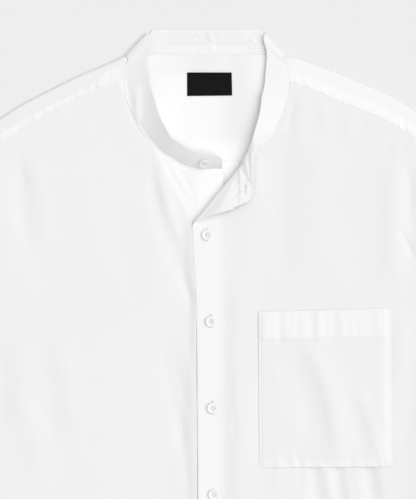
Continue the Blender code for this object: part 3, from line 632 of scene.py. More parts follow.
def tubes(name, runs, radius, sides):
    """Threads with blunt ends, each through its own points, as one mesh. Each run is (points, normals)."""
    points, faces, start = [], [], 0
    turn = (np.arange(sides) * 2 * math.pi / sides)[None, :, None]
    for path, up in runs:
        along = unit(np.gradient(path, axis=0))
        side = unit(np.cross(along, up))
        lift = np.cross(side, along)
        ring = path[:, None] + radius * (np.cos(turn) * side[:, None] + np.sin(turn) * lift[:, None])
        for end in (0, -1):
            ring[end] = path[end] + (ring[end] - path[end]) * BLUNT
        points.append(ring.reshape(-1, 3))
        ids = start + np.arange(len(path) * sides).reshape(-1, sides)
        faces.append(ring_faces(ids))
        for end in (ids[0, ::-1], ids[-1]):
            faces.append(np.stack([np.full(sides // 2 - 1, end[0]), end[1:-2:2], end[2:-1:2], end[3::2]], -1))
        start += ids.size
    return add_object(name, new_mesh(name, np.vstack(points), np.vstack(faces)), THREAD)


# ---- Stitches ----

STITCH_PITCH, STITCH_LENGTH, STITCH_WIDTH = 2.3, 1.9, 0.46
# Along a stitch, its width and its height. The tips dip into the cloth, and the middle stands proud of it.
STITCH_PROFILE = [(-0.5, 0.12, -0.16), (-0.28, 0.5, 0.02), (0.28, 0.5, 0.02), (0.5, 0.12, -0.16)]


def stitch_mesh(name, lines, material, slot):
    """Rows of stitches as one mesh. Each line is (points, normals) on the cloth's surface."""
    centre, along, up = [], [], []
    for points, normals in lines:
        s = length_along(points)
        count = int(s[-1] / STITCH_PITCH)
        if count < 1:
            continue
        at = (np.arange(count) + 0.5) * s[-1] / count
        back, ahead = (resampled(points, at + step) for step in (-0.3, 0.3))
        centre.append((back + ahead) / 2)
        along.append(ahead - back)
        up.append(np.column_stack([np.interp(at, s, column) for column in normals.T]))
    centre, along, up = np.vstack(centre), unit(np.vstack(along)), np.vstack(up)
    side = unit(np.cross(up, along))
    up = np.cross(along, side)
    points = []
    for where, wide, high in STITCH_PROFILE:
        for cos, sin in ((1, 0), (0, 1), (-1, 0), (0, -1)):
            offset = along * where * STITCH_LENGTH + side * cos * wide * STITCH_WIDTH
            points.append(centre + offset + up * (sin * wide * STITCH_WIDTH * 0.9 + high))
    points = np.stack(points, axis=1)
    rings = np.arange(16).reshape(4, 4)
    one = np.vstack([ring_faces(rings), rings[0, ::-1], rings[3]])
    faces = (np.arange(len(centre)) * 16)[:, None, None] + one
    return add_object(name, new_mesh(name, points.reshape(-1, 3), faces.reshape(-1, 4)), material)


def face_of(points, wall, sign=None):
    """A grid's outer or inner face, and its normals. With no sign, the face that looks up is taken."""
    n = grid_normals(points)
    n = n * (np.where(n[..., 2:] < 0, -1, 1) if sign is None else sign)
    return points + n * wall / 2, n


def seam_line(points, wall, rows=None, cols=None, sign=None):
    """A line over a grid's face, at fractional rows or columns, as points and normals."""
    r = np.arange(points.shape[0]) if rows is None else rows
    c = np.arange(points.shape[1]) if cols is None else cols
    r, c = np.broadcast_arrays(np.asarray(r, float), np.asarray(c, float))
    i = np.clip(np.floor(r).astype(int), 0, points.shape[0] - 2)
    j = np.clip(np.floor(c).astype(int), 0, points.shape[1] - 2)
    a, b = (r - i)[:, None], (c - j)[:, None]
    line = []
    for field in face_of(points, wall, sign):
        low = field[i, j] * (1 - b) + field[i, j + 1] * b
        high = field[i + 1, j] * (1 - b) + field[i + 1, j + 1] * b
        line.append(low * (1 - a) + high * a)
    return line


def index_at(distance, length, shares):
    """The fractional row or column at a distance along a length."""
    return np.interp(distance, shares * length, np.arange(len(shares)))


# ---- Materials ----

COTTON_SINGLE = (0.834, 0.834, 0.834)
COTTON_DOUBLE = (0.915, 0.915, 0.915)
COTTON_LIT = (0.965, 0.965, 0.965)  # doubled, with painted bounce light from white cloth standing beside it
THREAD_WHITE = (0.90, 0.90, 0.89)
PEARL = (0.90, 0.89, 0.87)
LABEL_BLACK = (0.006, 0.006, 0.007)
FLOOR = (0.808, 0.808, 0.808)


def node(tree, kind, **inputs):
    made = tree.nodes.new(kind)
    for key, value in inputs.items():
        made.inputs[key.replace("_", " ")].default_value = value
    return made


def link(tree, out, into):
    tree.links.new(out, into)


def stretched_noise(tree, vector, scale, detail=2.0):
    """Noise whose grains are `scale` times per metre along U and V."""
    mapping = node(tree, "ShaderNodeMapping", Scale=(*scale, 1.0))
    link(tree, vector, mapping.inputs["Vector"])
    noise = node(tree, "ShaderNodeTexNoise", Scale=1.0, Detail=detail, Roughness=0.55)
    link(tree, mapping.outputs[0], noise.inputs["Vector"])
    return noise.outputs["Fac"]


def mixed(tree, operation, a, b):
    made = node(tree, "ShaderNodeMath")
    made.operation = operation
    for socket, value in zip(made.inputs, (a, b)):
        if isinstance(value, (int, float)):
            socket.default_value = value
        else:
            link(tree, value, socket)
    return made.outputs[0]


def weighted(tree, a, weight_a, b, weight_b):
    return mixed(tree, "ADD", mixed(tree, "MULTIPLY", a, weight_a), mixed(tree, "MULTIPLY", b, weight_b))


def toned(tree, share, low, high):
    """A colour that goes from one to another with a share."""
    tone = node(tree, "ShaderNodeMix")
    tone.data_type = "RGBA"
    tone.inputs[6].default_value = (*low, 1)
    tone.inputs[7].default_value = (*high, 1)
    link(tree, share, tone.inputs[0])
    return tone.outputs[2]


def plain_material(name, colour, roughness, **inputs):
    made = bpy.data.materials.new(name)
    made.use_nodes = True
    shader = made.node_tree.nodes["Principled BSDF"]
    for key, value in {"Base_Color": (*colour, 1), "Roughness": roughness, **inputs}.items():
        shader.inputs[key.replace("_", " ")].default_value = value
    return made, made.node_tree, shader


def add_bump(tree, shader, height, strength, distance):
    bump = node(tree, "ShaderNodeBump", Strength=strength, Distance=distance)
    link(tree, height, bump.inputs["Height"])
    link(tree, bump.outputs[0], shader.inputs["Normal"])


def cloth_uv(tree):
    uv = node(tree, "ShaderNodeUVMap")
    uv.uv_map = "cloth"
    return uv.outputs[0]


def object_place(tree):
    return node(tree, "ShaderNodeTexCoord").outputs["Object"]


def cotton_material():
    """White plain weave: fine yarns, thicker slubs along both, and whiter cloth where it is doubled and where
    painted light is added.
    """
    made, tree, shader = plain_material(
        "cotton", COTTON_SINGLE, 0.9, Sheen_Weight=0.08, Sheen_Roughness=0.5, Specular_IOR_Level=0.2
    )
    vector = cloth_uv(tree)
    slubs = mixed(tree, "ADD", *(stretched_noise(tree, vector, grain) for grain in ((1500, 45), (45, 1500))))
    cloud = stretched_noise(tree, vector, (14, 11), 3.0)
    yarn_u = stretched_noise(tree, vector, (3300, 600), 1.0)
    yarn_v = stretched_noise(tree, vector, (600, 3300), 1.0)
    yarns = mixed(tree, "MULTIPLY", mixed(tree, "ADD", yarn_u, yarn_v), 0.5)
    # Colour: a little darker between yarns, and a soft cloudiness.
    ply = node(tree, "ShaderNodeAttribute")
    ply.attribute_name = "ply"
    one_ply = (COTTON_DOUBLE[0] - COTTON_SINGLE[0]) / (COTTON_LIT[0] - COTTON_SINGLE[0])
    tone = toned(tree, mixed(tree, "MULTIPLY", ply.outputs["Fac"], one_ply), COTTON_SINGLE, COTTON_LIT)
    scaled = node(tree, "ShaderNodeVectorMath")
    scaled.operation = "SCALE"
    link(tree, tone, scaled.inputs[0])
    link(tree, mixed(tree, "ADD", weighted(tree, slubs, 0.030, cloud, 0.016), 0.962), scaled.inputs["Scale"])
    link(tree, scaled.outputs[0], shader.inputs["Base Color"])
    add_bump(tree, shader, weighted(tree, slubs, 0.5, yarns, 0.5), 0.35, 0.00022)
    return made


def thread_material():
    made, tree, shader = plain_material("thread", THREAD_WHITE, 0.6)
    add_bump(tree, shader, stretched_noise(tree, object_place(tree), (2600, 2600), 1.0), 0.3, 0.0001)
    return made


def button_material():
    """Polished pearly resin with faint swirls."""
    made, tree, shader = plain_material("button pearl", PEARL, 0.28, Coat_Weight=0.35, Coat_Roughness=0.12)
    swirl = node(tree, "ShaderNodeTexNoise", Scale=260.0, Detail=3.0, Distortion=1.2)
    link(tree, object_place(tree), swirl.inputs["Vector"])
    darker = [c * 0.90 for c in PEARL]
    link(tree, toned(tree, swirl.outputs["Fac"], darker, PEARL), shader.inputs["Base Color"])
    return made


def label_material():
    """Black woven satin: fine ribs across, with a little bloom."""
    made, tree, shader = plain_material("label satin", LABEL_BLACK, 0.55, Specular_IOR_Level=0.05)
    ribs = stretched_noise(tree, cloth_uv(tree), (260, 4200), 1.0)
    cloud = stretched_noise(tree, cloth_uv(tree), (70, 90))
    low, high = ([c * k for c in LABEL_BLACK] for k in (0.55, 1.7))
    link(tree, toned(tree, weighted(tree, ribs, 0.6, cloud, 0.4), low, high), shader.inputs["Base Color"])
    add_bump(tree, shader, ribs, 0.5, 0.00015)
    return made


COTTON = cotton_material()
THREAD = thread_material()
BUTTON = button_material()
LABEL_SATIN = label_material()


# ---- Cloth ----


def add_cloth(name, nodes, patches, stitches=None, finish=(COTTON, THREAD, "cotton")):
    """A piece of cloth in its nodes' place. Its stitches are (name, lines)."""
    cloth, thread, slot = finish
    piece = shell(name, patches, cloth)
    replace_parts(piece, *nodes)
    [stitch_mesh(*stitches, thread, slot)] if stitches else []


# ---- Back and yoke ----


def armhole_x(side, y):
    points = curve(ARMHOLE[side], steps(60))
    return np.interp(y, points[:, 1], points[:, 0])


def make_back():
    """Flat on its underside, with a stitched hem and a seam under the yoke."""
    rows = spaced(BACK_LENGTH, 4.4, end=(0.0, 1.5, 3.0))
    edges = []
    for side in MIRROR:
        hole = curve(ARMHOLE[side], steps(60))
        hole = np.vstack([hole[1:][hole[1:, 1] < YOKE_SEAM_Y], (armhole_x(side, YOKE_SEAM_Y), YOKE_SEAM_Y)])
        edge = np.vstack([curve(SIDE[side], steps(60)), hole])
        edges.append(resampled(edge, rows * length_along(edge)[-1]))
    right, left = edges
    across = spaced(BACK_WIDTH, 4.6)
    shares = np.abs(2 * across - 1)
    hem = np.where((across < 0.5)[:, None], hem_curve("right", shares), hem_curve("left", shares))
    top = right[-1] + across[:, None] * (left[-1] - right[-1])
    plan = filled(hem, top, right, left, across, rows)
    x, y = plan[..., 0], plan[..., 1]
    hem_line = curve(HEM, steps(80))
    hem_line = np.vstack([hem_line[::-1] * (-1, 1), hem_line[1:]])
    from_hem, _ = nearest_on(hem_line, x, y)
    z = BACK_Z + 0.10 * ramp((HEM_WIDTH - from_hem) / 0.8) + groove(from_hem, HEM_SEAM_AT, 0.15)
    points = np.dstack([plan, z])
    # Inside the neck opening the single back is painted whiter, as painted bounce light from the white cloth
    # round it.
    painted_light_in_neck = 1.5 * ramp((y - 190) / 20) * ramp((80 - np.abs(x)) / 10)
    patches = [patch(points, BACK_WALL, ply=np.maximum(painted_light_in_neck, ramp(HEM_WIDTH - from_hem)))]
    row = float(np.argmin(np.abs(rows * BACK_LENGTH - HEM_SEAM_AT)))
    lines = [seam_line(points, BACK_WALL, rows=row, sign=sign) for sign in (None, -1)]
    add_cloth("back_cloth", ["back"], patches, ("back_stitches", lines))


ROLL_ANGLES = np.radians(np.arange(0, 181, 15))
STRIP_WIDTH = 24  # of the yoke, down each front


def yoke_shoulder(side, shares, down_shares):
    """The yoke's part over one shoulder: the rows of its roll, then those down to its seam on the front."""
    # The roll and strip on the left are painted whiter, as painted light on the side that faces the lamp.
    painted_light_side = side == "left"
    line, front = curve(SHOULDER[side], shares), curve(YOKE_FRONT[side], shares)
    if side == "left":
        line, front = line[::-1], front[::-1]
    roll = (FRONT_Z - BACK_Z) / 2
    out = moved(line, -1.0) - line
    along = length_along(line)
    # Away from the neck the shoulder slopes down to its rolled edge.
    to_right = along[-1] - along
    dip = ramp(((to_right if side == "right" else along) - 4) / 30)
    angle = ROLL_ANGLES[:, None]
    rolled = line + out * (CLOTH / 2 + roll * (1 - np.sin(angle[..., None])))
    rolled_z = BACK_Z + (roll - dip / 2) * (1 - np.cos(angle))
    strip = front - rolled[-1]
    width, share = np.linalg.norm(strip, axis=1), down_shares[:, None]
    plan = rolled[-1] + strip * share[..., None]
    from_seam = width * (1 - share)
    z = FRONT_Z - dip * (1 - ramp(share)) ** 1.2 + 0.25 * ramp(share / 0.2)
    z += groove(from_seam, SEAM_AT, 0.22)
    z += puckers(from_seam, along, 31 if side == "right" else 41, 6.5, 8.0, 0.20)
    z += puckers(from_seam, along, 33, 3.4, 6.0, 0.5)
    z += 0.35 * mottle(plan[..., 0], plan[..., 1], 17, 5) * ramp(from_seam / 8) * ramp(share / 0.3)
    by_neck = ramp((46 - to_right) / 30) * (side == "right")
    seam_width = 9.0 + 2.0 * wobble(along, 9, 35) + 9 * by_neck
    whiter = (0.5 + 0.35 * wobble(along, 4, 36)) * ramp((seam_width - from_seam) / 4)
    # Painted light on the left strip, and the seam's doubled cloth on both.
    strip_ply_and_painted_light = np.maximum((0.6 + 0.35 * ramp((13 - from_seam) / 5)) * painted_light_side, whiter)
    ply = np.vstack([np.full(rolled_z.shape, 0.6 * painted_light_side), strip_ply_and_painted_light])
    around = np.vstack([np.broadcast_to(roll * angle, rolled_z.shape), roll * math.pi + width * share])
    points = np.vstack([np.dstack([rolled, rolled_z]), np.dstack([plan, z])])
    # The neck edge is tucked under the band.
    end, inward = (-1, 1) if side == "right" else (0, -1)
    tuck = np.r_[np.sin(ROLL_ANGLES / 2), 1 - 0.5 * down_shares]
    points[:, end, 0] += 4.0 * inward * tuck
    points[:, end, 2] -= 0.5 * tuck
    uv = np.dstack([np.broadcast_to(line[:, 0], around.shape), line[:, 1] + around])
    return patch(points, DOUBLE, uv, ply)


def make_yoke():
    """Doubled cloth: flat behind the neck, rolled over the shoulders and stitched down along the fronts."""
    shares = spaced(SHOULDER_LENGTH, 1.1, start=(0.0, 1.0, 2.0), end=(0.0, 1.0, 2.0))
    down_shares = spaced(STRIP_WIDTH, 1.4, start=(0.0, 1.2), end=EDGE_STEPS[:9])[1:]
    right, left = (yoke_shoulder(side, shares, down_shares) for side in MIRROR)
    right_end, left_end = right.points[0, -1, 0], left.points[0, 0, 0]
    count = round((left_end - right_end) / (2.4 * FINE))
    neck = np.column_stack([np.linspace(right_end, left_end, count), np.full(count, NECK_BACK_Y)])
    top = np.vstack([right.points[0, :, :2], neck[1:-1], left.points[0, :, :2]])
    corners = [armhole_x(side, YOKE_SEAM_Y) for side in MIRROR]
    bottom_x = np.interp(top[:, 0], (top[0, 0], top[-1, 0]), corners)
    bottom = np.column_stack([bottom_x, np.full(len(top), YOKE_SEAM_Y)])
    height = NECK_BACK_Y - YOKE_SEAM_Y
    up = spaced(height, 2.6)
    v = up[:, None, None]
    plan = bottom * (1 - v) + top * v
    x, y = plan[..., 0], plan[..., 1]
    inside = ramp(v[..., 0] / 0.1) * ramp((1 - v[..., 0]) / 0.1)
    z = BACK_Z + 0.25 + groove(y - YOKE_SEAM_Y, SEAM_AT, 0.2) + 0.18 * inside * (1 + ripples(x, y, 7))
    z[-1] = BACK_Z
    z[-2] = BACK_Z + 0.1
    # Behind the neck the cloth is painted whiter low down and beside the band, as painted light, and darker
    # in two places, as painted shade.
    painted_shade_behind_neck = np.maximum(hill(x - 34, 17) * ramp((y - 240) / 35), hill(x + 2, 34) * ramp((y - 330) / 8))
    painted_light_by_band = 0.6 * ramp((-5 - x) / 38) * ramp((335 - y) / 50)
    low = 0.5 * ramp((275 - y) / 20)
    flat_part = patch(np.dstack([plan, z]), DOUBLE, ply=1 + np.maximum(painted_light_by_band, low) - 0.85 * painted_shade_behind_neck)
    row = index_at(STRIP_WIDTH - SEAM_AT, STRIP_WIDTH, np.r_[0, down_shares])
    last_of_roll = len(ROLL_ANGLES) - 1
    lines = [seam_line(p.points[last_of_roll:], DOUBLE, rows=row) for p in (right, left)]
    lines.append(seam_line(flat_part.points, DOUBLE, rows=index_at(SEAM_AT, height, up)))
    patches = [right, left, flat_part]
    add_cloth("yoke_cloth", ["yoke"], patches, ("yoke_stitches", lines))


# ---- Fronts ----

VIEW_LOW_Y = -112.0  # the camera sees nothing below this


def front_plan(side, across):
    """A front's grid, with the Ys of its straight edge. Rows are close together where the camera looks."""
    edge_x, top_y = FRONT_EDGE[side]
    fine_from = 188.0 if side == "left" else top_y  # the left front's corner rolls above this
    ys = np.linspace(FRONT_HEM_Y, VIEW_LOW_Y, round(58 / FINE))
    ys = np.r_[ys, even(VIEW_LOW_Y, fine_from, 2.2)[1:], even(fine_from, top_y, 1.2)[1:]]
    neck_shares = spaced(length_along(np.array(NECK[side]))[-1], 2.0, start=(0.0, 1.5))
    inner = np.vstack([np.column_stack([np.full(len(ys), edge_x), ys]), curve(NECK[side], neck_shares)[1:]])
    side_top = ARMHOLE[side][0][1]
    seam, hole = curve(SIDE[side], steps(80)), curve(ARMHOLE[side], steps(80))
    seam[0, 1] += HEM_STEP
    on_side = ys[ys <= side_top]
    seam_s = np.interp(on_side, (FRONT_HEM_Y, side_top), (0, length_along(seam)[-1]))
    rest = length_along(inner[len(on_side) - 1 :])[1:]
    outer = np.vstack([resampled(seam, seam_s), resampled(hole, rest / rest[-1] * length_along(hole)[-1])])
    bottom = hem_curve(side, across, abs(edge_x), HEM_STEP)
    bottom[0] = inner[0]
    under_yoke = moved(curve(YOKE_FRONT[side][::-1], across), 2.4 * MIRROR[side])
    up = length_along(inner)
    return filled(bottom, under_yoke, inner, outer, across, up / up[-1]), ys


def front_finish(side, x, y, z):
    """Adds what the solids leave out: fine creases, seams, puckers and the hem."""
    seed = 100 if side == "right" else 200
    yoke_line = curve(YOKE_FRONT[side], steps(40))
    from_yoke, yoke_share = nearest_on(yoke_line, x, y)
    above = y > np.interp(x, *yoke_line[:: -MIRROR[side]].T)
    from_yoke = np.where(above, -from_yoke, from_yoke)
    from_neck, neck_share = nearest_on(curve(NECK[side], steps(40)), x, y)
    from_hole, hole_share = nearest_on(curve(ARMHOLE[side], steps(40)), x, y)
    hem_line = curve(HEM, steps(60)) * (MIRROR[side], 1) + (0, HEM_STEP)
    from_hem, hem_share = nearest_on(hem_line, x, y)
    inside = ramp(from_neck / 10) * ramp(from_yoke / 8) * ramp(from_hem / 10)
    if side == "left":
        inside *= 1 - ramp((in_pocket(x, y) + 1) / 4)
    z = z + (fold_relief(x, y, CREASES[side]) + ripples(x, y, seed)) * inside
    by_armhole = 0.4 + 0.6 * ramp((np.abs(x) - 110) / 50)
    z += puckers(from_yoke, yoke_share * SHOULDER_LENGTH, seed + 3, 7.0, 11.0, 0.24) * by_armhole
    z += puckers(from_neck, neck_share * NECK_LENGTH, seed + 6, 6.0, 8.0, 0.22)
    z += puckers(from_hole, hole_share * ARMHOLE_LENGTH, seed + 9, 9.0, 12.0, 0.30)
    hem_gathers = puckers(from_hem, hem_share * HEM_LENGTH, seed + 12, 7.0, 9.0, 0.25)
    z += hem_gathers + groove(from_hem, HEM_SEAM_AT, 0.2, 0.7)
    z -= ramp((0.3 - from_yoke) / 0.9)
    z += 0.30 * hill(from_neck - 1.1, 0.8) - 0.30 * hill(from_neck - 2.6, 0.7)
    return z, 0.8 * ramp(HEM_WIDTH - from_hem)


def in_pocket(x, y):
    """How far inside the pocket's outline a point lies."""
    (left, low), (right, _), (_, high), _ = POCKET
    return np.minimum(np.minimum(x - left, right - 1 - x), np.minimum(y - low, high - y))


def placket_lip(x, y):
    """The right front's rise towards the placket's edge, where the two press together."""
    edge = curve(PLACKET_EDGE, steps(160))
    away = np.interp(y, edge[:, 1], edge[:, 0]) - x
    upper = ramp((y - 100) / 22)
    reach = 9 + 4 * upper + 18 * ramp((100 - y) / 180)
    height = (2.1 + 0.4 * upper) * (1 - ramp((y - 172) / 22))
    return height * ramp((away + 0.1) / 0.5) * (1 - ramp(away / reach)) ** 1.3


def make_right_front():
    by_placket = tuple(np.arange(0, 8, 0.45 * FINE))
    plan, _ = front_plan("right", spaced(FRONT_WIDTH["right"], 2.5, start=by_placket))
    x, y = plan[..., 0], plan[..., 1]
    z, ply = front_finish("right", x, y, right_front_z(x, y) + (CLOTH - SINGLE) / 2)
    z += placket_lip(x, y) + puckers(STAND_EDGES[0] - x, y, 131, 7.0, 8.0, 0.15) * ramp((y - 120) / 60)
    # The doubled yoke's lower seam, which shows faintly through the front.
    through = hill(y - YOKE_SEAM_Y + 6 - 0.06 * (x + 100), 3.0) * ramp((x + 185) / 25)
    patchy = 0.5 + 0.5 * mottle(x, y, 12, 137)
    ply = np.maximum(ply, 0.30 * through * patchy * ramp((-85 - x) / 25))
    # A wedge of the front below the band is painted whiter, as painted light.
    painted_light_below_band = ramp((x + 50 - 0.52 * (247 - y)) / 6) * ramp((y - 150) / 30)
    patches = [patch(np.dstack([plan, z]), SINGLE, ply=np.maximum(ply, 0.75 * painted_light_below_band))]
    add_cloth("front_right_cloth", ["front_right"], patches)


def make_left_front():
    """The front and its placket, which is its own edge folded under, so no seam shows between them."""
    by_placket = tuple(np.arange(0, 46, 1.4 * FINE))
    plan, ys = front_plan("left", spaced(FRONT_WIDTH["left"], 2.5, start=by_placket))
    x, y = plan[..., 0], plan[..., 1]
    z, ply = front_finish("left", x, y, left_front_z(x, y) + (CLOTH - SINGLE) / 2)
    near = ramp((PLACKET_SEAM_X + 12 - x) / 12)
    hump = ramp((x - PLACKET_SEAM_X) / 18) * (1 - ramp((x - 33) / 26)) * ramp((135 - y) / 45)
    # The pocket's sewn edges press the front down a little, and its folds go through both.
    from_edges, _ = nearest_on(POCKET[[2, 0, 1, 3]], x, y)
    z += 0.2 * near + 1.9 * hump - 0.30 * hill(from_edges, 2.5)
    z += fold_relief(x, y, POCKET_CREASES) * ramp(in_pocket(x, y) / 16)
    ply = np.maximum(ply, 0.35 * ramp((PLACKET_SEAM_X + 5 - x) / 5))
    wall = SINGLE + (SEAM_WALL - SINGLE) * near
    front = patch(turned_back(np.dstack([plan, z])), wall, plan, ply)
    patches = [front, placket_patch(ys, z[: len(ys), 0])]
    nodes = ["front_left", "placket_left"]
    add_cloth("front_left_cloth", nodes, patches)


def placket_patch(ys, seam_z):
    """The placket, from its free edge to its seam. It dips under each button, and its cloth pulls there."""
    edge = curve(PLACKET_EDGE, steps(160))
    slant = (ys[-1] - PLACKET_EDGE[-1][1]) * ramp((ys - 175) / (ys[-1] - 175))
    edge_y = ys - slant
    edge_x = np.interp(edge_y, edge[:, 1], edge[:, 0])
    t = spaced(27, 1.5, start=(0.0, 0.5, 1.1, 1.8, 2.6, 3.6), end=(0.0, 1.2))
    x = edge_x[:, None] + (PLACKET_SEAM_X - edge_x)[:, None] * t
    y = edge_y[:, None] + slant[:, None] * t
    plan = np.dstack([x, y])
    z = PLACKET_Z + (PLACKET - DOUBLE) / 2
    loose = ramp((PLACKET_SEAM_X - x) / 14)
    z = z + loose * (0.30 * wobble(y, 34, 301) + 0.10 * wobble(y, 13, 302))
    z -= 0.25 * ramp((2.2 - x + edge_x[:, None]) / 2.2)
    for i, button_x in enumerate(BUTTON_XS):
        dx, dy = x - button_x, y - FIRST_BUTTON_Y + i * BUTTON_PITCH
        gap = np.hypot(dx, dy * 0.8)
        z -= 0.35 * hill(gap, 9)
        z += 0.16 * np.sin(3 * np.arctan2(dy, dx) + 1.3 * i) * hill(gap - 11, 6)
    z += puckers(ys[-1] - ys[:, None], x, 311, 2.6, 11.0, 0.9)
    seam = ramp((x - PLACKET_SEAM_X + 9) / 9)
    z += seam * (seam_z[:, None] - z[:, -1:])
    wall = DOUBLE + (SEAM_WALL - DOUBLE) * seam
    ply = 0.66 - 0.31 * ramp((x - PLACKET_SEAM_X + 5) / 5)
    # The turned corner is painted less white, as painted shade.
    ply *= 1 - 0.75 * ramp((past_turn(plan) - 4) / 8)
    return patch(turned_back(np.dstack([plan, z])), wall, plan, ply)


def make_stand():
    fine_from, top_y = 150, FRONT_EDGE["right"][1]
    ys = np.linspace(FRONT_HEM_Y, fine_from, round(70 / FINE))
    ys = np.r_[ys, np.linspace(fine_from, top_y, round(44 / FINE))[1:]]
    low, high = STAND_EDGES
    xs = np.array([low, -8.4, -7.8, -7.2, -6.5, -5.5, -3, 0, 3, 6, 9, 12, 14.5, 16.4, 17.4, 18.0, high])
    x, y = np.meshgrid(xs, ys)
    rise = (COLLAR_FRONT_Z - STAND_Z) * ramp((y - 212) / 26)
    z = STAND_Z + rise + 0.15 + groove(x - low, 1.6, 0.2, 0.5) + 0.15 * ripples(x, y, 55)
    # Its seam is pressed up against the placket's edge.
    z += 1.2 * (1 - ramp((y - 95) / 25)) * ramp((-6.6 - x) / 1.6)
    points = np.dstack([x, y, z])
    column = 2.6  # 1.6 mm from the free edge
    stitches = ("stand_stitches", [seam_line(points, SEAM_WALL, cols=np.full(len(ys), column))])
    # Doubled cloth, painted a little whiter still, as painted light.
    patches = [patch(points, SEAM_WALL, ply=1.15)]
    add_cloth("button_stand_cloth", ["button_stand_right"], patches, stitches)


# ---- Collar band ----


def band_section(section):
    """The seam, middle and top points of a section, as nine numbers."""
    seam, top = np.array(section[:2]), np.array(section[3:5])
    run, rise = top - seam, section.top_z - section.seam_z
    if section.seam_z > BAND_BACK_Z:
        lean = math.atan2(rise, np.linalg.norm(run))
        seam = seam + unit(run) * (BAND_CLOSE + DOUBLE / 2 * math.sin(lean))
    middle = seam + (top - seam) * section.run
    return [*seam, section.seam_z, *middle, section.seam_z + rise * section.lift, *top, section.top_z]


def band_crease(ends, angles):
    """Sections round the fold where the band's front part turns over its back part."""
    seam, top = np.array(ends)
    run = unit(top - seam)
    inward = np.array([run[1], -run[0]])
    inward *= -np.sign(seam[0] * inward[0])
    radius = (FRONT_Z - BAND_BACK_Z) / 2
    sections = []
    for a in np.radians(angles):
        shift = inward * (BAND / 2 + radius * (1 - math.sin(a)))
        z = BAND_BACK_Z + radius * (1 - math.cos(a))
        sections.append([*(seam + shift), z, *((seam + top) / 2 + shift), z, *(top + shift), z])
    return sections


def band_turned_section(section):
    off_seam = np.array([-0.45, 0.9]) * BAND_CLOSE
    seam = turned_back(np.array([*(section[:2] + off_seam), PLACKET_Z + 0.3]))
    return [*seam, *section[2:]]


# Crinkled places of the band: how far from the back's middle, how wide and how high.
CRINKLES = [(-2, 9, 1.0), (8, 6, 0.9), (48, 7, 0.9), (-40, 6, 0.5)]


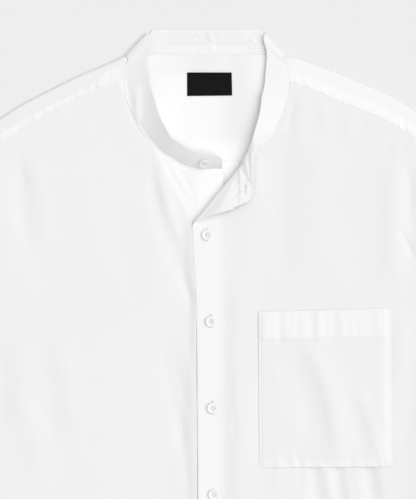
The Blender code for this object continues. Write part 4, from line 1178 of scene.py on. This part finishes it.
def make_band():
    angles = (0, 45, 90, 135, 180)
    sections = [band_section(s) for s in BAND_RIGHT] + band_crease(CREASE_RIGHT, angles[::-1])
    sections += [band_section(s) for s in BAND_BACK] + band_crease(CREASE_LEFT, angles)
    sections += [band_section(s) for s in BAND_LEFT] + [band_turned_section(s) for s in BAND_TURNED]
    sections = np.array(sections)
    s = length_along(sections) / math.sqrt(3)
    length = s[-1]
    # The buttonhole end has smaller cells, from where the band starts to turn.
    turned = s[-len(BAND_TURNED)] - 12
    near_end = np.array([0.0, 0.3, 0.8, 1.5, 2.4, 3.4, 4.6, 6.0, 7.5, 9.0])
    main = np.arange(near_end[-1] + 1.5, turned, 1.7 * FINE)
    end = np.arange(turned, length - near_end[-1] - 0.5, 0.55 * FINE)
    stations = np.r_[near_end, main, end, (length - near_end)[::-1]]
    from_end = np.minimum(stations, length - stations)
    height = BAND_HEIGHT - BAND_CORNER + np.sqrt(BAND_CORNER**2 - np.maximum(BAND_CORNER - from_end, 0) ** 2)
    heights = spaced(BAND_HEIGHT, 0.85)
    t = heights * (height / BAND_HEIGHT)[:, None]
    at = curve(sections, stations / length).reshape(-1, 3, 3)
    seam, middle, top = (at[:, k][:, None] for k in range(3))
    w = t[..., None]
    points = (1 - w) ** 2 * seam + 2 * w * (1 - w) * middle + w**2 * top
    # Distances from the band's own edges, and along it.
    along, up = np.broadcast_to(stations[:, None], t.shape), t * BAND_HEIGHT
    from_top, to_end = height[:, None] - up, length - along
    first_of_back = len(BAND_RIGHT) + len(angles)
    back_from, back_to = s[first_of_back], s[first_of_back + len(BAND_BACK) - 1]
    from_middle = along - (back_from + back_to) / 2
    lift = groove(up, TOPSTITCH_AT, 0.22) + puckers(up, along, 401, 5.0, 7.0, 0.16)
    lift += 0.10 * mottle(along, up, 11, 402)
    crinkle = mottle(along + up * 0.4, up, 3.6, 405) * ramp(up / 10) * ramp(from_top / 4)
    for place, width, size in CRINKLES:
        lift += size * crinkle * hill(from_middle - place, width)
    # The crease between the band's flat part and its steep one, on the button side.
    crease_from, crease_up, crease_to = s[7], s[9], s[10]
    on_crease = ramp((along - crease_from + 2) / 12) * ramp((crease_to - along) / 20)
    crease_at = 1.0 + 8 * ramp((along - crease_from) / (crease_up - crease_from))
    lift += 1.5 * on_crease * hill(up - crease_at, 4.2)
    crush = hill(to_end - 24, 12) * ramp((20 - up) / 14)
    lift += 0.85 * crush * wobble(along + 0.4 * up, 4.2, 411)
    lift += 0.45 * hill(up, 6) * ramp((44 - to_end) / 8) * wobble(along, 2.6, 413)
    # The buttonhole: a slit with raised lips, gaping a little.
    slit_x, slit_y = np.abs(to_end - BUTTONHOLE_AT) / SLIT_HALF_LENGTH, np.abs(up - BAND_HEIGHT / 2)
    open_width = SLIT_HALF_WIDTH * np.sqrt(np.clip(1 - slit_x**2, 0, 1))
    lips = hill(slit_y - open_width - 0.7, 0.8) * ramp((1.25 - slit_x) / 0.25)
    hollow = ramp((open_width - slit_y) / 0.9 + 0.5) * ramp((1 - slit_x) / 0.3)
    normals = grid_normals(points)
    facing = np.where(normals[..., 2] < 0, -1, 1)
    points = points + normals * (lift + (0.45 * lips - 0.6 * hollow) * facing)[..., None]
    on_corner = ramp((62 - to_end) / 10)
    points[..., 2] += on_corner * fold_relief(points[..., 0], points[..., 1], TURNED_CREASES)
    points[..., 2] = np.maximum(points[..., 2], DOUBLE / 2)
    at_back = np.exp(-((from_middle / 62) ** 4))
    # The band's part on the wearer's left is painted whiter, as painted light where it faces the lamp.
    painted_light_on_left = ramp((from_middle - 76) / 10) * ramp((turned + 6 - along) / 12)
    ply = 0.05 + at_back * (0.55 * ramp((9.5 - up) / 1.5) + 0.45 * ramp((3.5 - from_top) / 1.5))
    at_ends = at_back * ramp((np.abs(from_middle) - 34) / 14) * ramp((up - 9) / 2)
    ply += 0.42 * painted_light_on_left + 0.45 * at_ends
    column = index_at(TOPSTITCH_AT, BAND_HEIGHT, heights)
    lines = [seam_line(points, DOUBLE, cols=column, sign=sign) for sign in (-1, 1)]
    in_back = np.flatnonzero((stations > back_from - 6) & (stations < back_to + 6))
    lines.append(seam_line(points, DOUBLE, rows=in_back, cols=index_at(5.4, BAND_HEIGHT, heights)))
    patches = [patch(points, DOUBLE, np.dstack([along, up]), ply)]
    stitches = ("band_stitches", lines)
    add_cloth("collar_band_cloth", ["collar_band"], patches, stitches)


# ---- Pocket and label ----


def make_pocket():
    across, upwards = spaced(POCKET_WIDTH, 1.9), spaced(POCKET_HEIGHT, 1.9)
    plan = quad(POCKET, across, upwards)
    x, y = plan[..., 0], plan[..., 1]
    u, v = np.meshgrid(across, upwards)
    from_right, from_side = (1 - u) * POCKET_WIDTH, np.minimum(u, 1 - u) * POCKET_WIDTH
    from_bottom, from_top = v * POCKET_HEIGHT, (1 - v) * POCKET_HEIGHT
    sewn = np.minimum(from_side, from_bottom)
    loose = ramp(sewn / 16)
    z = left_front_z(x, y) + CLOTH / 2 + SINGLE / 2 + groove(sewn, TOPSTITCH_AT, 0.28)
    z += 0.10 * ramp((4 - sewn) / 3) - 0.20 * ramp((1.2 - sewn) / 1.2)
    z += 0.28 * ramp((POCKET_HEM - from_top) / 1.2) + groove(from_top, POCKET_HEM + 0.2, 0.8, 0.8)
    z += loose * (fold_relief(x, y, POCKET_CREASES) + 0.35 * ripples(x, y, 61))
    standing = 0.8 * ramp(sewn / 8) + 0.35 * ramp((from_right - 2) / 10)
    z += standing * (0.12 + 0.88 * ramp(from_top / 12)) - 0.15 * (1 - ramp(from_top / 3))
    z -= 0.25 * (1 - ramp(from_side / 5))
    z += 0.25 * (1 - ramp(from_bottom / 4)) * ramp(from_side / 5)
    # Upright gathers across the doubled top, and short ones above the bottom seam.
    gather = 0.75 * wobble(x + 0.05 * y, 8.0, 63) + 0.28 * wobble(x, 3.6, 64)
    in_hem = ramp((POCKET_HEM + 7 - from_top) / 9)
    z += gather * in_hem * ramp(from_top / 2) * ramp(from_side / 4)
    z += puckers(from_bottom, x, 65, 4.4, 13.0, 1.1) + puckers(from_side, y, 67, 6.0, 7.0, 0.20)
    ply = np.maximum(0.46 * ramp(POCKET_HEM + 0.5 - from_top), 0.30 * ramp((8.5 - sewn) / 1.5))
    points = np.dstack([plan, z])
    column, row = index_at(TOPSTITCH_AT, POCKET_WIDTH, across), index_at(TOPSTITCH_AT, POCKET_HEIGHT, upwards)
    hem_row = index_at(POCKET_HEIGHT - POCKET_HEM + 1.4, POCKET_HEIGHT, upwards)
    side_rows = np.arange(row, len(upwards) - 0.99)
    columns = (column, len(across) - 1 - column)
    lines = [seam_line(points, SINGLE, rows=side_rows, cols=c) for c in columns]
    lines += [seam_line(points, SINGLE, rows=r, cols=np.arange(*columns)) for r in (row, hem_row)]
    patches, stitches = [patch(points, SINGLE, ply=ply)], ("pocket_stitches", lines)
    add_cloth("pocket_cloth", ["pocket"], patches, stitches)


def make_label():
    """Bare black satin with folded ends, stitched down all round."""
    width, height, stitched_at, inset = 46, 24.3, 1.5, 0.4
    across, upwards = spaced(width, 1.6), spaced(height, 1.4)
    plan = quad(LABEL + inset * np.array([(1, 1), (-1, 1), (1, -1), (-1, -1)]), across, upwards)
    u, v = np.meshgrid(across, upwards)
    edge = np.minimum(np.minimum(u, 1 - u) * width, np.minimum(v, 1 - v) * height)
    z = LABEL_Z + 0.12 * ramp(3 - edge) + groove(edge, stitched_at, 0.22, 0.5)
    points = np.dstack([plan, z + 0.12 * mottle(plan[..., 0], plan[..., 1], 9, 71)])
    column, row = index_at(stitched_at, width, across), index_at(stitched_at, height, upwards)
    columns, rows = (column, len(across) - 1 - column), (row, len(upwards) - 1 - row)
    all_columns, all_rows = (np.arange(low, high + 0.01) for low, high in (columns, rows))
    lines = [seam_line(points, LABEL_WALL, rows=r, cols=all_columns) for r in rows]
    lines += [seam_line(points, LABEL_WALL, rows=all_rows, cols=c) for c in columns]
    finish = (LABEL_SATIN, LABEL_SATIN, "label_satin")
    stitches = ("label_stitches", lines)
    patches = [patch(points, LABEL_WALL)]
    add_cloth("neck_label_cloth", ["neck_label"], patches, stitches, finish)


# ---- Sleeves and cuffs ----


def flat_tube(outer, inner, heights, inner_roll, relief, walls, pitch, root=None, ply=0.0):
    """A tube lying flat, from the rows of its two plan edges, and how many cells lie across its upper side.

    walls are the drawn wall and the solid's. root bends the tube's first rows in plan.
    """
    low, high = heights
    wall, solid_wall = walls
    outer_roll = (high - low) / 2
    turn = np.radians(np.arange(20, 161, 20))
    grid, around = [], []
    count = round(max(np.linalg.norm(outer - inner, axis=1)) / (pitch * FINE))
    for i, (start, end) in enumerate(zip(outer, inner)):
        width = np.linalg.norm(end - start)
        first, last = outer_roll + solid_wall / 2, width - inner_roll - solid_wall / 2
        upper, lower = (first + (last - first) * share for share in (steps(count), steps(count // 2)[::-1]))
        upper_z = high - 2 * (outer_roll - inner_roll) * (1 - ramp((last - upper) / SETTLE))
        upper_z += relief(i, upper / width, upper)
        inner_z, outer_z = low + inner_roll * (1 + np.cos(turn)), low + outer_roll * (1 - np.cos(turn))
        d = np.r_[upper, last + inner_roll * np.sin(turn), lower, first - outer_roll * np.sin(turn), upper[0]]
        z = np.r_[upper_z, inner_z, np.full(len(lower), low), outer_z, upper_z[0]]
        share = d / width
        plan = start + (end - start) * share[:, None] + (root(i, share) if root else 0)
        grid.append(np.column_stack([plan, z]))
        around.append(length_along(np.column_stack([d, z])))
    down = length_along((outer + inner) / 2)
    uv = np.dstack([np.array(around), np.broadcast_to(-down[:, None], np.shape(around))])
    return patch(np.array(grid), wall, uv, ply), count


def make_sleeve(side):
    mirror = np.array([MIRROR[side], 1])
    seed = 500 if side == "right" else 540
    hole = np.vstack([curve(ARMHOLE[side], steps(60)), SHOULDER[side][0]])[::-1]
    hole = moved(hole, mirror[0] * -0.1)
    hole_length = length_along(hole)[-1]
    down = np.array([math.cos(SLEEVE_ANGLE), -math.sin(SLEEVE_ANGLE)]) * mirror
    inwards = np.array([-math.sin(SLEEVE_ANGLE), -math.cos(SLEEVE_ANGLE)]) * mirror
    rows = spaced(SLEEVE_LENGTH, 4.2, start=(0.0, 1.2, 2.6, 4.5), end=(0.0, 1.2, 2.6, 4.5))
    outer = hole[0] + curve(SLEEVE_OUTER, rows) * mirror
    inner_end = outer[-1] + inwards * SLEEVE_END_WIDTH
    inner = curve([*(hole[-1] + SLEEVE_INNER * mirror), inner_end], rows)
    length = np.linalg.norm(outer[-1] - outer[0])
    scaled = [Fold(*(np.array(fold[:3]) * (SLEEVE_END_WIDTH, 1)), *fold[3:]) for fold in SLEEVE_FOLDS]

    def root(i, share):
        straight = hole[0] + (hole[-1] - hole[0]) * share[:, None]
        return (1 - ramp(rows[i] / 0.3)) * (resampled(hole, share * hole_length) - straight)

    def relief(i, share, _):
        edge = ramp(share / 0.2) * ramp((1 - share) / 0.2)
        x, y = share * SLEEVE_END_WIDTH, np.full(len(share), rows[i] * length)
        from_head, from_end = rows[i] * SLEEVE_LENGTH, (1 - rows[i]) * SLEEVE_LENGTH
        lift = fold_relief(x, y, scaled) + ripples(x, y, seed)
        lift += puckers(from_head, x, seed + 4, 8.0, 10.0, 0.3)
        lift += puckers(from_end, x, seed + 7, 7.0, 16.0, 0.7)
        return edge * lift - 0.35 * ramp((4 - from_end) / 4)

    heights, walls = (BACK_Z, FRONT_Z), (SINGLE, CLOTH)
    tube, _ = flat_tube(outer, inner, heights, UNDERARM_ROLL, relief, walls, 3.6, root)
    add_cloth(f"sleeve_{side}_cloth", [f"sleeve_{side}"], [tube])
    make_cuff(side, (outer[-1] + inner_end) / 2, down, inwards)


def make_cuff(side, start, down, inwards):
    shares = spaced(CUFF_LENGTH, 2.4)
    line = start + down * CUFF_LENGTH * shares[:, None] - down * 0.4
    half = inwards * CUFF_WIDTH / 2
    roll = (CUFF_Z - BAND / 2) / 2

    def relief(i, share, distance):
        from_end = min(shares[i], 1 - shares[i]) * CUFF_LENGTH
        edge = ramp(share / 0.15) * ramp((1 - share) / 0.15)
        lift = 0.4 + groove(from_end, TOPSTITCH_AT, 0.2)
        lift = lift + edge * puckers(from_end, distance, 591, 6.0, 8.0, 0.15)
        # The buttonhole end lies on the other.
        past_end = -0.7 * ramp((distance - CUFF_OVERLAP_AT) / 1.2)
        return lift + past_end * ramp((CUFF_WIDTH - 8 - distance) / 20)

    heights, walls = (BAND / 2, CUFF_Z), (DOUBLE, BAND)
    tube, count = flat_tube(line - half, line + half, heights, roll, relief, walls, 2.2, ply=0.5)
    upper_side = tube.points[:, : count + 1]
    row = index_at(TOPSTITCH_AT, CUFF_LENGTH, shares)
    lines = [seam_line(upper_side, DOUBLE, rows=r) for r in (row, len(shares) - 1 - row)]
    stitches = (f"cuff_{side}_stitches", lines)
    add_cloth(f"cuff_{side}_cloth", [f"cuff_{side}"], [tube], stitches)


# ---- Buttons and buttonholes ----

# Radius and height of a button's rings, from the middle of its face over the rim to its back.
BUTTON_RINGS = [
    (0.02, 1.62), (0.35, 1.62), (0.7, 1.61), (1.0, 1.60), (1.3, 1.60), (1.6, 1.60), (1.9, 1.61), (2.2, 1.62),
    (2.5, 1.66), (2.85, 1.73), (3.2, 1.86), (3.6, 2.04), (4.0, 2.16), (4.4, 2.2), (4.8, 2.18), (5.2, 2.06),
    (5.5, 1.85), (5.7, 1.55), (BUTTON_WIDTH / 2, 1.2), (5.67, 0.85), (5.2, 0.5), (4.4, 0.22), (3.0, 0.08),
    (1.5, 0.02), (0.02, 0.0),
]
DISH_RINGS, BUTTON_SIDES = 10, 48
HOLE_FROM_CENTRE, HOLE_RADIUS = 1.45, 0.85


def button_mesh(name, to_world, place):
    """A four-holed button with a rounded rim and a dished middle, about its back's centre."""
    a = np.arange(BUTTON_SIDES) * 2 * math.pi / BUTTON_SIDES
    r, z = (column[:, None] for column in np.array(BUTTON_RINGS).T)
    points = np.dstack([r * np.cos(a), r * np.sin(a), z + 0 * a])
    for hole in np.radians((45, 135, 225, 315)):
        off = points[:DISH_RINGS, :, :2] - HOLE_FROM_CENTRE * np.array([math.cos(hole), math.sin(hole)])
        points[:DISH_RINGS, :, 2] -= ramp((HOLE_RADIUS - np.hypot(off[..., 0], off[..., 1])) / 0.4)
    ids = np.arange(r.size * BUTTON_SIDES).reshape(-1, BUTTON_SIDES)
    faces = [np.roll(ring_faces(ids)[:, ::-1], 1, axis=1)]
    for ring in (ids[0], ids[-1, ::-1]):
        faces.append([(ring[0], ring[k], ring[k + 1], ring[k + 2]) for k in range(1, BUTTON_SIDES - 2, 2)])
    return new_mesh(name, points.reshape(-1, 3) @ to_world.T + place, np.vstack(faces))


def make_button(name, place, tilt, turn):
    c, s = math.cos(turn), math.sin(turn)
    ct, st = math.cos(tilt), math.sin(tilt)
    to_world = np.array([[1, 0, 0], [0, ct, -st], [0, st, ct]]) @ np.array([[c, -s, 0], [s, c, 0], [0, 0, 1]])
    mesh = button_mesh(f"{name}_pearl", to_world, place)
    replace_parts(add_object(f"{name}_pearl", mesh, BUTTON), name)
    t = np.linspace(-1, 1, 9)
    up = np.tile(to_world[:, 2], (9, 1))
    runs = []
    for y in (-1.16, -0.84, 0.84, 1.16):
        path = np.column_stack([1.25 * t, np.full(9, y), 1.84 - 1.1 * np.abs(t) ** 4])
        runs.append((path @ to_world.T + place, up))
    tubes(f"{name}_thread", runs, 0.22, 6)


def make_buttons():
    on_placket = PLACKET_Z + PLACKET / 2 + 0.15
    rng = np.random.default_rng(3)
    for i, x in enumerate(BUTTON_XS):
        y = FIRST_BUTTON_Y - i * BUTTON_PITCH
        tilt, turn = rng.uniform(-0.06, 0.06), rng.uniform(0, 1.5)
        make_button(f"button_{i + 1}", np.array([x, y, on_placket]), tilt, turn)
        make_buttonhole(f"buttonhole_{i + 1}", np.array([x + 0.1, y + 0.8, on_placket - 0.35]))
    # The collar button lies on the middle of the band's second section.
    seam, middle, top = np.array(band_section(BAND_RIGHT[1])).reshape(3, 3)
    axis = unit(np.array([0, seam[2] - top[2], top[1] - seam[1]]))
    place = (seam + 2 * middle + top) / 4 + axis * (BAND / 2 + 0.2)
    place[0] = COLLAR_BUTTON_X
    make_button("button_collar", place, math.atan2(-axis[1], axis[2]), 0.4)
    for side in MIRROR:
        low, high = np.array(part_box(f"button_cuff_{side}")) / MM
        place = np.array([*(low + high)[:2] / 2, low[2] + 0.3])
        make_button(f"button_cuff_{side}", place, 0.0, 0.8)


def make_buttonhole(name, place):
    """An upright buttonhole in satin stitch, mostly under its button."""
    half_length, half_width = 6.3, 1.35
    paths = []
    for y in np.arange(-half_length, half_length + 0.01, 0.55):
        for side in (-1, 1):
            xs = np.array([0.25, 0.8, half_width]) * side
            paths.append([xs, [y, y + 0.1, y + 0.2], [0.0, 0.16, -0.02]])
    for end in (-1, 1):
        for y in end * (half_length + 0.35 * np.arange(3)):
            paths.append([[-half_width, 0, half_width], [y] * 3, [0.0, 0.25, 0.0]])
    up = np.array([[0, 0, 1.0]] * 3)
    tubes(name, [(np.column_stack(path) + place, up) for path in paths], 0.2, 4)


# ---- Camera, light and floor ----

FRAME_H = 499  # the picture's height in pixels
MM_PER_PX = 1.022
VIEW_X, VIEW_Y = 3.07, 155.15  # the middle of the view, on the shirt
CAMERA_HEIGHT = 2.4  # metres
SENSOR_HEIGHT = 36.0
WORLD_STRENGTH = 0.55
SUN_STRENGTH = 1.75
SUN_ANGLE = 68.0  # degrees that the lamp spans
SUN_FROM = 10.0  # degrees from +X towards +Y
SUN_HEIGHT = 65.0  # degrees above the floor
FLOOR_HALF, FLOOR_Z = 4000, -0.05


def make_camera():
    camera = bpy.data.cameras.new("camera")
    camera.type = "PERSP"
    camera.sensor_fit = "VERTICAL"
    camera.sensor_height = SENSOR_HEIGHT
    distance = CAMERA_HEIGHT - FRONT_Z * MM
    camera.lens = SENSOR_HEIGHT * distance / (FRAME_H * MM_PER_PX * MM)
    camera.clip_end = 20
    obj = in_scene("camera", camera)
    obj.location = (VIEW_X * MM, VIEW_Y * MM, CAMERA_HEIGHT)
    bpy.context.scene.camera = obj


def make_light():
    world = bpy.data.worlds.new("studio")
    world.use_nodes = True
    background = world.node_tree.nodes["Background"]
    background.inputs["Color"].default_value = (1, 1, 1, 1)
    background.inputs["Strength"].default_value = WORLD_STRENGTH
    bpy.context.scene.world = world
    sun = bpy.data.lights.new("window", "SUN")
    sun.energy = SUN_STRENGTH
    sun.angle = math.radians(SUN_ANGLE)
    # The lamp shines along its own -Z.
    in_scene("window", sun).rotation_euler = (math.radians(90 - SUN_HEIGHT), 0, math.radians(SUN_FROM + 90))


def make_floor():
    points = [(x * FLOOR_HALF, y * FLOOR_HALF, FLOOR_Z) for x, y in ((-1, -1), (1, -1), (1, 1), (-1, 1))]
    mesh = new_mesh("floor", points, np.array([[0, 1, 2, 3]]))
    material, tree, shader = plain_material("floor", FLOOR, 0.9, Specular_IOR_Level=0.1)
    add_bump(tree, shader, stretched_noise(tree, object_place(tree), (900, 900)), 0.05, 0.0002)
    mesh.materials.append(material)
    in_scene("floor", mesh)


def main():
    bpy.context.scene.view_settings.view_transform = "Standard"
    make_camera()
    make_light()
    make_floor()
    make_back()
    make_yoke()
    make_right_front()
    make_left_front()
    make_stand()
    make_band()
    make_pocket()
    make_label()
    for side in MIRROR:
        make_sleeve(side)
    make_buttons()


main()
